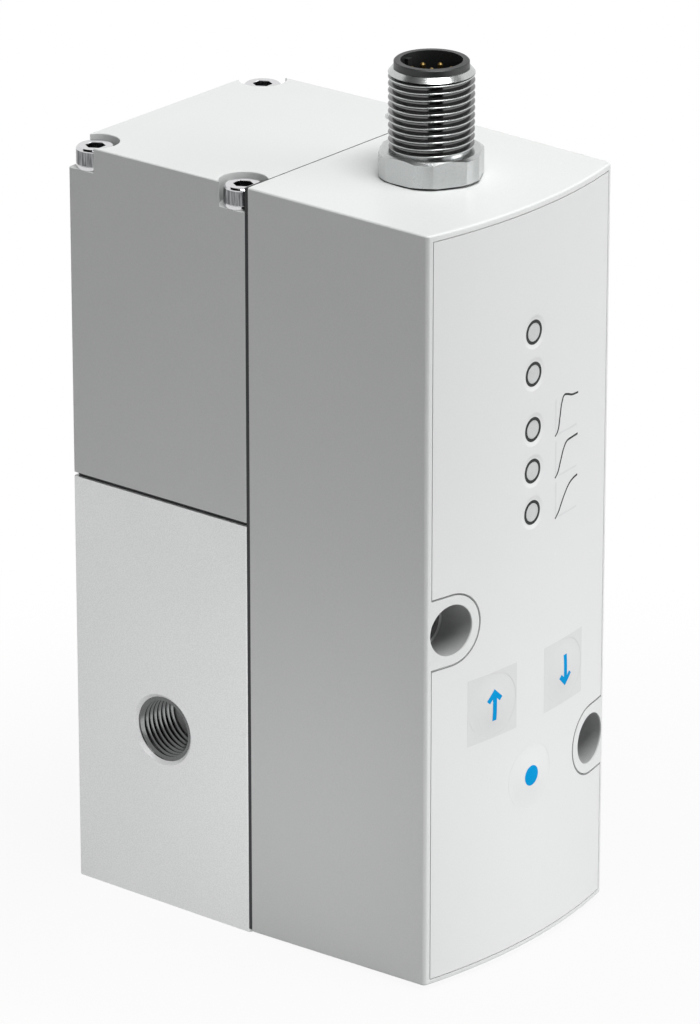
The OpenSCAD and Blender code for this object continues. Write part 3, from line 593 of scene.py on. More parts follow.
    @classmethod
    def finish(cls, obj: bpy.types.Object, finish: Finish, body: Body, replaced: Sequence[str] = (),
               angle: float = SMOOTH) -> None:
        """Shades a piece, gives it its material and puts it on its body.

        Args:
            obj: The piece.
            finish: Its finish.
            body: The body it rides on.
            replaced: Nodes that it stands for.
            angle: Edges sharper than this stay sharp, in degrees.
        """
        cls.take(obj)
        bpy.ops.object.shade_smooth_by_angle(angle=math.radians(angle))
        if replaced:
            cls.apply(obj, "WEIGHTED_NORMAL", keep_sharp=True, weight=100)
        obj.data.materials.clear()
        obj.data.materials.append(finish.material())
        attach(obj, body.value)
        if replaced:
            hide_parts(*replaced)
        LOG.info("piece %s: %d faces on %s", obj.name, len(obj.data.polygons), body.value)

    @staticmethod
    def second(obj: bpy.types.Object, finish: Finish, test: Callable[[bpy.types.MeshPolygon], bool]) -> None:
        """Gives some faces of a finished piece a second finish of the same slot.

        Args:
            obj: The piece.
            finish: The second finish.
            test: Takes a face.
        """
        obj.data.materials.append(finish.material())
        for face in obj.data.polygons:
            face.material_index = int(test(face))


@dataclass
class Front:
    """The bulged front face that carries the prints.

    Attributes:
        radius: Radius of the bulge in plan.
        axis_y: Y of the bulge's axis.
        key_spots: X and Z of each key, by body.
        dome: Height of a key's crown over the face.
        key_r: Radius of a key.
    """

    radius: float = 84.5331 * MM
    axis_y: float = 51.6331 * MM
    key_spots: dict[Body, tuple[float, float]] = field(default_factory=lambda: {
        Body.UP: (-8.1 * MM, 40.03 * MM), Body.DOWN: (8.1 * MM, 40.03 * MM), Body.EDIT: (0.0, 26.7 * MM)})
    dome: float = 0.22 * MM
    key_r: float = 4.72 * MM

    @property
    def crest_y(self) -> float:
        """Gives the Y of the face's foremost line."""
        return self.axis_y - self.radius

    def crown(self, x: float, y: float) -> float:
        """Gives the height of a key's crown at a point about the key's middle."""
        part = min((x ** 2 + y ** 2) / self.key_r ** 2, 1.0)
        return self.dome * (1 - part) ** 2

    def on_face(self, point: Vector) -> Vector:
        """Wraps a point on the face: its x runs across, its y up and its z outwards.

        Args:
            point: The point of the flat drawing.

        Returns:
            Its place.
        """
        turn = math.asin(point.x / self.radius)
        reach = self.radius + point.z
        return Vector((reach * math.sin(turn), self.axis_y - reach * math.cos(turn), point.y))

    def on_key(self, body: Body) -> Callable[[Vector], Vector]:
        """Gives the wrapping of a point on a key's crown.

        Args:
            body: The key's body.

        Returns:
            A function from a point about the key's middle to its place.
        """
        x, z = self.key_spots[body]

        def place(point: Vector) -> Vector:
            """Puts one point on the crown."""
            height = self.crown(point.x, point.y) + point.z
            return self.on_face(Vector((x + point.x, z + point.y, height)))

        return place


class Sheet:
    """Flat print that is drawn in the XY plane and wrapped on the front.

    Attributes:
        THICKNESS: Its thickness.
        SUNK: How deep it lies in the face.
    """

    THICKNESS = 0.02 * MM
    SUNK = 0.008 * MM

    @staticmethod
    def outline(name: str, points: Sequence[tuple[float, float]]) -> bpy.types.Object:
        """Draws a filled outline from a circle whose vertices are moved to the points.

        Args:
            name: Name of the print.
            points: Corners in turn, in millimetres.

        Returns:
            The flat print.
        """
        obj = Bench.start(name, bpy.ops.mesh.primitive_circle_add, vertices=len(points), radius=MM,
                          fill_type="NGON")
        for vertex, (x, y) in zip(obj.data.vertices, points):
            vertex.co = (x * MM, y * MM, 0)
        return obj

    @staticmethod
    def ring(name: str, outer: float, inner: float) -> bpy.types.Object:
        """Draws a flat ring by an inset of a disc.

        Args:
            name: Name of the print.
            outer: Outer radius.
            inner: Inner radius.

        Returns:
            The flat print.
        """
        obj = Bench.start(name, bpy.ops.mesh.primitive_circle_add, vertices=ROUND, radius=outer,
                          fill_type="NGON")
        with Bench.editing(obj):
            bpy.ops.mesh.inset(thickness=outer - inner, depth=0)
            bpy.ops.mesh.delete(type="FACE")
        return obj

    @classmethod
    def wrap(cls, obj: bpy.types.Object, place: Callable[[Vector], Vector], pitch: float = 0.6 * MM) -> None:
        """Slices a flat print, gives it its thickness and wraps it on the front.

        Args:
            obj: The flat print.
            place: Gives a point's place.
            pitch: Distance of the slices.
        """
        for axis in (0, 1):
            low = min(v.co[axis] for v in obj.data.vertices)
            high = max(v.co[axis] for v in obj.data.vertices)
            cuts = int((high - low) / pitch)
            for i in range(1, cuts + 1):
                spot = [0.0, 0.0, 0.0]
                normal = [0.0, 0.0, 0.0]
                spot[axis] = low + (high - low) * i / (cuts + 1)
                normal[axis] = 1.0
                Bench.cut(obj, spot, normal)
        Bench.outward(obj)
        Bench.apply(obj, "SOLIDIFY", thickness=cls.THICKNESS, offset=0.0)
        lift = cls.THICKNESS / 2 - cls.SUNK
        for vertex in obj.data.vertices:
            vertex.co = place(vertex.co + Vector((0, 0, lift)))
        Bench.outward(obj)


@dataclass
class Prints:
    """Prints on the foil and the keys, and a painted shadow along the foil's edge round the mounting holes.

    Attributes:
        front: The face that carries them.
        lights: Heights of the status lights.
        ring: Outer and inner radius of the ring round a light.
        square: Half the side of a key's square.
        hole: Radius of the round opening in a key's square.
        dot_r: Radius of the dot.
        stroke: Width of a curve's line.
        axes: Width and height of the pale axes behind a curve, in millimetres.
        edge: How far the two sides of the painted shadow line along the foil's edge stand off the foil's
            cut-outs, in millimetres.
        shift: How far the keys' prints stand to the right of the keys' middles.
        UNCUT: Pitch that leaves a small print in one piece.
        COARSE: Pitch of the squares.
        FINE: Pitch of the prints on the keys.
        STEPS: Steps round a cut-out.
        ARROW: Corners of the upward arrow, in millimetres.
        CURVES: Points along the step-response curves, in millimetres.
    """

    front: Front
    lights: tuple[float, ...] = tuple(z * MM for z in (92.85, 86.72, 78.62, 72.49, 66.36))
    ring: tuple[float, float] = (1.78 * MM, 1.32 * MM)
    square: float = 4.95 * MM
    hole: float = 4.74 * MM
    dot_r: float = 1.5 * MM
    stroke: float = 0.3 * MM
    axes: tuple[float, float] = (5.6, 5.4)
    edge: tuple[float, float] = (0.16, 0.01)
    shift: float = 0.17 * MM

    UNCUT = 5 * MM
    COARSE = 1.2 * MM
    FINE = 0.5 * MM
    STEPS = 32
    ARROW = ((0.41, -2.35), (0.41, 0.95), (0.98, 0.4), (1.55, 0.9), (0.0, 2.38), (-1.55, 0.9), (-0.98, 0.4),
             (-0.41, 0.95), (-0.41, -2.35))
    CURVES = (
        ((5.14, 76.06), (5.75, 76.6), (6.3, 78.6), (6.8, 80.7), (7.34, 81.5), (8.2, 81.4), (9.3, 81.0),
         (11.08, 80.8)),
        ((5.23, 69.86), (5.85, 70.4), (6.6, 72.0), (7.4, 73.7), (8.15, 74.46), (9.4, 74.62), (11.08, 74.67)),
        ((5.37, 63.76), (6.1, 64.4), (7.0, 65.7), (7.9, 66.9), (8.86, 67.85), (9.9, 68.35), (11.13, 68.57)))

    def build(self, foil: "Foil") -> None:
        """Builds every print.

        Args:
            foil: The foil that carries them.
        """
        for number, height in enumerate(self.lights, 1):
            self.light_ring(number, height, foil)
        for body in (Body.UP, Body.DOWN):
            self.key_square(body)
            self.arrow(body)
        self.dot()
        for number, points in enumerate(self.CURVES, 1):
            self.curve(number, points)
            self.axes_of(number, points[0])
        for number, spot in enumerate(foil.notches, 1):
            self.edge_shadow_line(number, spot, foil)

    def light_ring(self, number: int, height: float, foil: "Foil") -> None:
        """Prints the ring round one light, on its pressed disc.

        Args:
            number: Number of the light from the top.
            height: Its height.
            foil: The foil with the disc.
        """
        obj = Sheet.ring(f"light_ring_{number}", *self.ring)
        top = self.front.crest_y - foil.rise
        Sheet.wrap(obj, lambda p: Vector((p.x, top - p.z, height + p.y)), self.UNCUT)
        Bench.finish(obj, Finishes.DARK, Body.BASE)

    def key_square(self, body: Body) -> None:
        """Prints the square round a key on the foil.

        Args:
            body: The key's body.
        """
        x, z = self.front.key_spots[body]
        obj = Bench.start(f"{body.value}_square", bpy.ops.mesh.primitive_circle_add, vertices=ROUND,
                          radius=self.hole, fill_type="NOTHING")
        with Bench.editing(obj, "EDGE"):
            bpy.ops.mesh.extrude_edges_move()
        for vertex in obj.data.vertices[ROUND:]:
            reach = max(abs(vertex.co.x), abs(vertex.co.y))
            vertex.co = vertex.co * (self.square / reach)
        Sheet.wrap(obj, lambda p: self.front.on_face(Vector((x + p.x, z + p.y, p.z))), self.COARSE)
        Bench.finish(obj, Finishes.KEY, Body.BASE)

    def arrow(self, body: Body) -> None:
        """Prints the arrow on the up or down key.

        Args:
            body: The key's body.
        """
        sense = 1 if body is Body.UP else -1
        obj = Sheet.outline(f"{body.value}_arrow", [(x * sense, y * sense) for x, y in self.ARROW])
        obj.data.transform(Matrix.Translation((self.shift, 0, 0)))
        Sheet.wrap(obj, self.front.on_key(body), self.FINE)
        Bench.finish(obj, Finishes.BLUE, body)

    def dot(self) -> None:
        """Prints the dot on the edit key."""
        obj = Bench.start("edit_dot", bpy.ops.mesh.primitive_circle_add, vertices=MID_ROUND,
                          radius=self.dot_r, fill_type="NGON", location=(self.shift, 0, 0))
        Sheet.wrap(obj, self.front.on_key(Body.EDIT), self.FINE)
        Bench.finish(obj, Finishes.BLUE, Body.EDIT)

    def edge_shadow_line(self, number: int, spot: tuple[float, float], foil: "Foil") -> None:
        """Paints the shadow of the foil's edge round a mounting hole as a dark line.

        Args:
            number: Number of the hole.
            spot: The hole's X and Z.
            foil: The foil.
        """
        x, z = (value / MM for value in spot)
        side = math.copysign(1.0, x)
        points = []
        turns = [math.radians(90 - 180 * i / self.STEPS) for i in range(self.STEPS + 1)]
        for off in self.edge:
            radius = foil.notch / MM + off
            line = [(side * foil.side / MM, z + radius)]
            line += [(x - side * radius * math.cos(t), z + radius * math.sin(t)) for t in turns]
            line += [(side * foil.side / MM, z - radius)]
            points += line if not points else line[::-1]
        obj = Sheet.outline(f"foil_edge_shadow_{number}", points)
        Sheet.wrap(obj, self.front.on_face)
        Bench.finish(obj, Finishes.EDGE, Body.BASE)

    def axes_of(self, number: int, start: tuple[float, float]) -> None:
        """Prints the two pale axes behind a curve.

        Args:
            number: Number of the curve from the top.
            start: The curve's first point, in millimetres.
        """
        x, y = start
        width, height = self.axes
        line = self.stroke / MM
        corners = [(x, y), (x + width, y), (x + width, y + line), (x + line, y + line),
                   (x + line, y + height), (x, y + height)]
        obj = Sheet.outline(f"curve_axes_{number}", corners)
        Sheet.wrap(obj, self.front.on_face)
        Bench.finish(obj, Finishes.PALE, Body.BASE)

    def curve(self, number: int, points: Sequence[tuple[float, float]]) -> None:
        """Prints one step-response curve.

        Args:
            number: Number of the curve from the top.
            points: Points along it, in millimetres.
        """
        Bench.clear()
        bpy.ops.curve.primitive_bezier_curve_add()
        obj = bpy.context.active_object
        obj.name = f"step_curve_{number}"
        spline = obj.data.splines[0]
        spline.bezier_points.add(len(points) - 2)
        for point, (x, y) in zip(spline.bezier_points, points):
            point.co = (x * MM, y * MM, 0)
            point.handle_left_type = point.handle_right_type = "AUTO"
        obj.data.resolution_u = 6
        obj.data.bevel_depth = self.stroke / 2
        obj.data.bevel_resolution = 1
        obj.data.use_fill_caps = True
        bpy.ops.object.convert(target="MESH")
        bpy.ops.object.transform_apply(location=True, rotation=True, scale=True)
        flat = Sheet.THICKNESS / self.stroke
        for vertex in obj.data.vertices:
            level = vertex.co.z * flat + Sheet.SUNK
            vertex.co = self.front.on_face(Vector((vertex.co.x, vertex.co.y, level)))
        Bench.outward(obj)
        Bench.finish(obj, Finishes.DARK, Body.BASE)


@dataclass
class Foil:
    """The printed foil on the bulged front, with discs pressed in round the lights.

    Attributes:
        front: The face that carries it.
        lights: Heights of the status lights.
        side: X of its side edges.
        low: Height of its lower edge.
        high: Height of its upper edge.
        notches: X and Z of the mounting holes that it goes round.
        notch: Radius of those cut-outs.
        key: Radius of the keys' openings.
        room: How far those open out at the back.
        band: Width of the ring of the back that gives way for it.
        window: Radius of the lights' openings.
        proud: How far the light pipes stand over the pressed discs.
        thickness: Its thickness.
        disc: Radii between which a pressed disc sinks.
        rise: Height of a pressed disc, below the face.
        pitch: Distance of its grid lines.
        punch: Height of the tool bodies.
    """

    front: Front
    lights: tuple[float, ...]
    side: float = 19.5 * MM
    low: float = 1.62 * MM
    high: float = 110.52 * MM
    notches: tuple[tuple[float, float], ...] = ((-16.05 * MM, 53.46 * MM), (16.05 * MM, 26.6 * MM))
    notch: float = 5.2 * MM
    key: float = 4.73 * MM
    room: float = 0.04 * MM
    band: float = 0.3 * MM
    window: float = 1.28 * MM
    proud: float = 0.015 * MM
    thickness: float = 0.46 * MM
    disc: tuple[float, float] = (2.5 * MM, 1.86 * MM)
    rise: float = -0.11 * MM
    pitch: float = 0.45 * MM
    punch: float = 4 * MM

    def build(self) -> None:
        """Builds the foil flat, cuts its openings, presses it and wraps it on the front."""
        obj = self.blank()
        for cutter in self.cutters():
            Bench.combine(obj, cutter, "DIFFERENCE")
        for vertex in obj.data.vertices:
            spot = self.flare(vertex.co)
            vertex.co = self.front.on_face(spot + Vector((0, 0, self.emboss(spot))))
        Bench.finish(obj, Finishes.FOIL, Body.BASE, ("front_foil",), SOFT)
        self.windows()

    def windows(self) -> None:
        """Cuts the light pipes' ends to the level of the pressed discs."""
        obj = Bench.copy_of("light_pipes", "light_windows")
        face = self.front.crest_y - self.rise - self.proud
        Bench.cut(obj, (0, face, 0), (0, -1, 0), use_fill=True, clear_outer=True)
        Bench.finish(obj, Finishes.PIPE, Body.BASE, ("light_pipes",))

    def blank(self) -> bpy.types.Object:
        """Makes the uncut sheet from a grid, finer round the lights.

        Returns:
            The sheet, with its outer face at height 0.
        """
        width, height = 2 * self.side, self.high - self.low
        columns, rows = int(width / self.pitch), int(height / self.pitch)
        obj = Bench.start("foil_sheet", bpy.ops.mesh.primitive_grid_add, x_subdivisions=columns,
                          y_subdivisions=rows, size=1.0, sides=(width, height, 1.0))
        obj.data.transform(Matrix.Translation((0, (self.low + self.high) / 2, 0)))
        reach = self.disc[0] + self.pitch
        with Bench.editing(obj):
            Bench.pick(obj, lambda f: any((f.calc_center_median() - Vector((0, z, 0))).length < reach
                                          for z in self.lights))
            bpy.ops.mesh.subdivide(number_cuts=2)
        Bench.apply(obj, "SOLIDIFY", thickness=self.thickness, offset=-1.0)
        return obj

    def cutters(self) -> Iterator[bpy.types.Object]:
        """Makes the tool bodies for the lights' and keys' openings and the mounting holes' cut-outs.

        Returns:
            The tool bodies in turn.
        """
        holes = [(0.0, z, self.window, SMALL_ROUND) for z in self.lights]
        holes += [(x, z, self.key, FINE_ROUND) for x, z in self.front.key_spots.values()]
        holes += [(x, z, self.notch, FINE_ROUND) for x, z in self.notches]
        for x, z, radius, sides in holes:
            yield Bench.start("foil_punch", bpy.ops.mesh.primitive_cylinder_add, vertices=sides,
                              radius=radius, depth=self.punch, location=(x, z, 0))
        for x, z in self.notches:
            length = 2 * self.notch
            yield Bench.start("foil_slot", bpy.ops.mesh.primitive_cube_add, size=1.0,
                              location=(x + math.copysign(length / 2, x), z, 0),
                              sides=(length, length, self.punch))

    def flare(self, point: Vector) -> Vector:
        """Moves a point at the sheet's back away from a key's opening, so that a pressed key has room.

        Args:
            point: The point.

        Returns:
            Where it goes.
        """
        for x, z in self.front.key_spots.values():
            away = Vector((point.x - x, point.y - z, 0))
            share = 1 - (away.length - self.key) / self.band
            if share > 0 and point.z < -self.thickness / 2:
                return point + away.normalized() * self.room * min(share, 1.0)
        return point.copy()

    def emboss(self, point: Vector) -> float:
        """Gives the height of the pressed foil at a point of the flat sheet.

        Args:
            point: The point.

        Returns:
            The height over the face.
        """
        gap = min((Vector((point.x, point.y)) - Vector((0.0, z))).length for z in self.lights)
        part = min(max((self.disc[0] - gap) / (self.disc[0] - self.disc[1]), 0.0), 1.0)
        level = self.rise + self.front.radius * (1 - math.cos(math.asin(point.x / self.front.radius)))
        return level * part * part * (3 - 2 * part)


@dataclass
class Keys:
    """The three keys with a soft crown, as under a skin.

    Attributes:
        front: The face that they stand in.
        skirt: Depth of the crown's underside below the face.
        taper: Width of the underside as a share of the crown's.
        NODES: Node and finish of each key, by body.
    """

    front: Front
    skirt: float = 0.4 * MM
    taper: float = 0.985

    NODES = {Body.UP: ("up_key", Finishes.KEY), Body.DOWN: ("down_key", Finishes.KEY),
             Body.EDIT: ("edit_key", Finishes.FOIL)}

    def build(self) -> None:
        """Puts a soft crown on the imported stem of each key."""
        for body, (node, finish) in self.NODES.items():
            place = self.front.on_key(body)
            stem = Bench.copy_of(node, f"{node}_stem")
            spot = place(Vector((0, 0, -self.front.dome - self.skirt)))
            outward = place(Vector((0, 0, MM))) - place(Vector((0, 0, 0)))
            Bench.cut(stem, spot, outward.normalized(), use_fill=True, clear_outer=True)
            obj = Bench.start(f"{node}_cap", bpy.ops.mesh.primitive_uv_sphere_add, segments=ROUND,
                              ring_count=SMALL_ROUND, radius=self.front.key_r)
            for vertex in obj.data.vertices:
                x, y, z = vertex.co
                if z > -MERGE:
                    vertex.co = place(Vector((x, y, 0.0)))
                else:
                    level = -self.front.crown(x, y) - self.skirt
                    vertex.co = place(Vector((x * self.taper, y * self.taper, level)))
            Bench.take(stem)
            obj.select_set(True)
            bpy.context.view_layer.objects.active = obj
            bpy.ops.object.join()
            Bench.finish(obj, finish, body, (node,), SOFT)


@dataclass
class Springs:
    """The coil springs, copied as steel pieces in place of their nodes.

    Attributes:
        travels: Joint, height of the fixed end and travel of each spring, by node.
    """

    travels: dict[str, tuple[str, float, float]] = field(default_factory=lambda: {
        "poppet_spring": ("poppet_lift", 16.0 * MM, 1.5 * MM),
        "supply_spring": ("supply_pilot_stroke", 92.55 * MM, 0.5 * MM),
        "vent_spring": ("vent_pilot_stroke", 92.55 * MM, 0.5 * MM)})

    def build(self) -> None:
        """Copies each spring and gives it its steel finish."""
        for node, (joint, fixed_z, travel) in self.travels.items():
            obj = Bench.copy_of(node, f"{node}_coil")
            Bench.finish(obj, Finishes.STEEL, Body.BASE, (node,))
            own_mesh(obj)


@dataclass
class Pockets:
    """Painted shade on the walls of the two pockets for the mounting screws, as a thin grey sleeve in each.

    Attributes:
        front: The face that they open through.
        spots: X and Z of the pockets.
        radius: Their radius.
        depth: Their depth from the front face.
        mouth: Height of the shade sleeve's front edge, below the face.
        wall: Thickness of the shade sleeve.
    """

    front: Front
    spots: tuple[tuple[float, float], ...]
    radius: float = 3.735 * MM
    depth: float = 4.65 * MM
    mouth: float = -0.2 * MM
    wall: float = 0.04 * MM

    def build(self) -> None:
        """Puts a thin sleeve of painted shade in each pocket, its mouth following the front."""
        for number, (x, z) in enumerate(self.spots, 1):
            obj = Bench.start(f"pocket_shade_sleeve_{number}", bpy.ops.mesh.primitive_cylinder_add,
                              vertices=FINE_ROUND, radius=self.radius, depth=1.0, end_fill_type="NOTHING")
            foot = self.front.on_face(Vector((x, z, 0))).y + self.depth
            for vertex in obj.data.vertices:
                across, up = x + vertex.co.x, z + vertex.co.y
                head = self.front.on_face(Vector((across, up, self.mouth))).y
                vertex.co = (across, head if vertex.co.z > 0 else foot, up)
            Bench.outward(obj)
            Bench.apply(obj, "SOLIDIFY", thickness=self.wall, offset=-1.0)
            Bench.outward(obj)
            Bench.finish(obj, Finishes.POCKET_SHADE, Body.BASE)


@dataclass
class Thread:
    """A helical thread about the Z axis.

    Attributes:
        major: Radius of the crests.
        minor: Radius of the roots.
        pitch: Rise of one turn.
        steps: Faces round one turn.
        PROFILE: Rise in pitches and height in depths of the thread, along one turn.
    """

    major: float
    minor: float
    pitch: float
    steps: int

    PROFILE = ((0.0, 0.0), (0.1, 0.0), (0.4, 0.92), (0.46, 1.0),
               (0.54, 1.0), (0.6, 0.92), (0.9, 0.0), (1.0, 0.0))

    def rod(self, name: str, low: float, high: float) -> bpy.types.Object:
        """Makes a closed threaded rod from one turn's profile by the Screw modifier.

        Args:
            name: Name of the rod.
            low: Height of its lower end.
            high: Height of its upper end.

        Returns:
            The rod.
        """
        turns = math.ceil((high - low) / self.pitch) + 2
        obj = Bench.start(name, bpy.ops.mesh.primitive_circle_add, vertices=len(self.PROFILE), radius=MM)
        depth = self.major - self.minor
        for vertex, (rise, out) in zip(obj.data.vertices, self.PROFILE):
            vertex.co = (self.minor + out * depth, 0, low + (rise - 1) * self.pitch)
        with Bench.editing(obj, "EDGE"):
            ends = {0, len(self.PROFILE) - 1}
            Bench.pick(obj, lambda e: {v.index for v in e.verts} == ends, "edges")
            bpy.ops.mesh.delete(type="EDGE")
        Bench.apply(obj, "SCREW", axis="Z", angle=math.tau, screw_offset=self.pitch, iterations=turns,
                    steps=self.steps, render_steps=self.steps, use_smooth_shade=True)
        Bench.outward(obj)
        for height, above in ((low, False), (high, True)):
            Bench.cut(obj, (0, 0, height), (0, 0, 1), use_fill=True, clear_inner=not above, clear_outer=above)
        Bench.outward(obj)
        return obj


@dataclass
class PlugConnector:
    """The round plug connector on top.

    Attributes:
        y: Y of its axis.
        neck_z: Height at which the thread starts.
        top_z: Height of the shell's end.
        bore: Radius of the shell's bore.
        lead: Length of the plain cone that leads on to the thread.
        lead_r: Radius of that cone's end.
        overlap: How far the thread runs into the cone.
        crest_highlight: Depth of the crests that keep the brighter nickel, as painted highlight.
        thread: Its thread.
        thread_angle: Edges of the thread sharper than this stay sharp, in degrees.
        flat_angle: The same for the hexagon.
    """

    y: float = PLUG_Y
    neck_z: float = 116.1 * MM
    top_z: float = 127.3461 * MM
    bore: float = 4.92 * MM
    lead: float = 0.7 * MM
    lead_r: float = 5.4 * MM
    overlap: float = 0.05 * MM
    crest_highlight: float = 0.07 * MM
    thread: Thread = field(default_factory=lambda: Thread(6.0 * MM, 5.42 * MM, 1.0 * MM, FINE_ROUND))
    thread_angle: float = 20.0
    flat_angle: float = 7.0

    def build(self) -> None:
        """Builds the threaded end and the hexagon."""
        self.threaded_end()
        self.hexagon()

    def threaded_end(self) -> None:
        """Sets a plain cone on the threaded rod, bores both, and gives the crests and the cone the brighter
        nickel as painted highlight against the darker flanks.
        """
        length = self.top_z - self.neck_z
        obj = self.thread.rod("connector_thread", self.neck_z, self.top_z - self.lead + self.overlap)
        cone = Bench.start("thread_lead", bpy.ops.mesh.primitive_cone_add, vertices=FINE_ROUND,
                           radius1=self.thread.major, radius2=self.lead_r, depth=self.lead,
                           location=(0, 0, self.top_z - self.lead / 2))
        Bench.combine(obj, cone, "UNION")
        drill = Bench.start("thread_drill", bpy.ops.mesh.primitive_cylinder_add, vertices=FINE_ROUND,
                            radius=self.bore, depth=2 * length, location=(0, 0, self.top_z))
        Bench.combine(obj, drill, "DIFFERENCE")
        obj.data.transform(Matrix.Translation((0, self.y, 0)))
        Bench.finish(obj, Finishes.THREAD, Body.BASE, ("connector_shell",), self.thread_angle)
        crest = self.thread.major - self.crest_highlight
        foot = self.top_z - self.lead - 2 * self.overlap
        axis = Vector((0, self.y, 0))

        def crest_highlight(face: bpy.types.MeshPolygon) -> bool:
            """Says whether a face belongs to the crests or the cone."""
            spots = [obj.data.vertices[i].co - axis for i in face.vertices]
            return min(p.z for p in spots) > foot or min(p.to_2d().length for p in spots) > crest

        Bench.second(obj, Finishes.NICKEL, crest_highlight)

    def hexagon(self) -> None:
        """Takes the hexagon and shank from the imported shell, with its flats kept sharp."""
        obj = Bench.copy_of("connector_shell", "connector_hexagon")
        Bench.cut(obj, (0, 0, self.neck_z), (0, 0, 1), use_fill=True, clear_outer=True)
        Bench.finish(obj, Finishes.NICKEL, Body.BASE, angle=self.flat_angle)


@dataclass
class PortThreads:
    """The threads in the three ports.

    Attributes:
        wall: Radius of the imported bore.
        depth: Length of the thread.
        y: Y of the ports' axes.
        mouth_x: Distance of the side ports' threads from the middle.
        supply_z: Height of the supply port.
        outlet_z: Height of the outlet port.
        exhaust_z: Height of the exhaust port's thread.
        run_out: How far the tap goes past both ends.
        thread: The tap that cuts them.
    """

    wall: float = 4.862 * MM
    depth: float = 7.6 * MM
    y: float = 17.075 * MM
    mouth_x: float = 20.45 * MM
    supply_z: float = 27.15 * MM
    outlet_z: float = 52.91 * MM
    exhaust_z: float = 0.85 * MM
    run_out: float = 0.5 * MM
    thread: Thread = field(default_factory=lambda: Thread(4.84 * MM, 4.283 * MM, 0.907 * MM, MID_ROUND))

    def build(self) -> None:
        """Builds the three threads."""
        quarter = math.pi / 2
        for name, place, turn, finish in (
                ("supply_thread", (-self.mouth_x, self.y, self.supply_z), quarter, Finishes.BORE_SHADE_ALUMINIUM),
                ("outlet_thread", (self.mouth_x, self.y, self.outlet_z), -quarter, Finishes.BORE_SHADE_ALUMINIUM),
                ("exhaust_thread", (0, self.y, self.exhaust_z), 0.0, Finishes.BRASS)):
            self.liner(name, Matrix.Translation(place) @ Matrix.Rotation(turn, 4, "Y"), finish)

    def liner(self, name: str, place: Matrix, finish: Finish) -> None:
        """Makes one thread as a thin sleeve in its bore.

        Args:
            name: Name of the piece.
            place: Where its mouth is, with Z into the bore.
            finish: Its finish.
        """
        obj = Bench.start(name, bpy.ops.mesh.primitive_cylinder_add, vertices=FINE_ROUND, radius=self.wall,
                          depth=self.depth, location=(0, 0, self.depth / 2))
        tap = self.thread.rod("tap", -self.run_out, self.depth + self.run_out)
        Bench.combine(obj, tap, "DIFFERENCE")
        obj.data.transform(place)
        Bench.finish(obj, finish, Body.BASE, angle=SOFT)


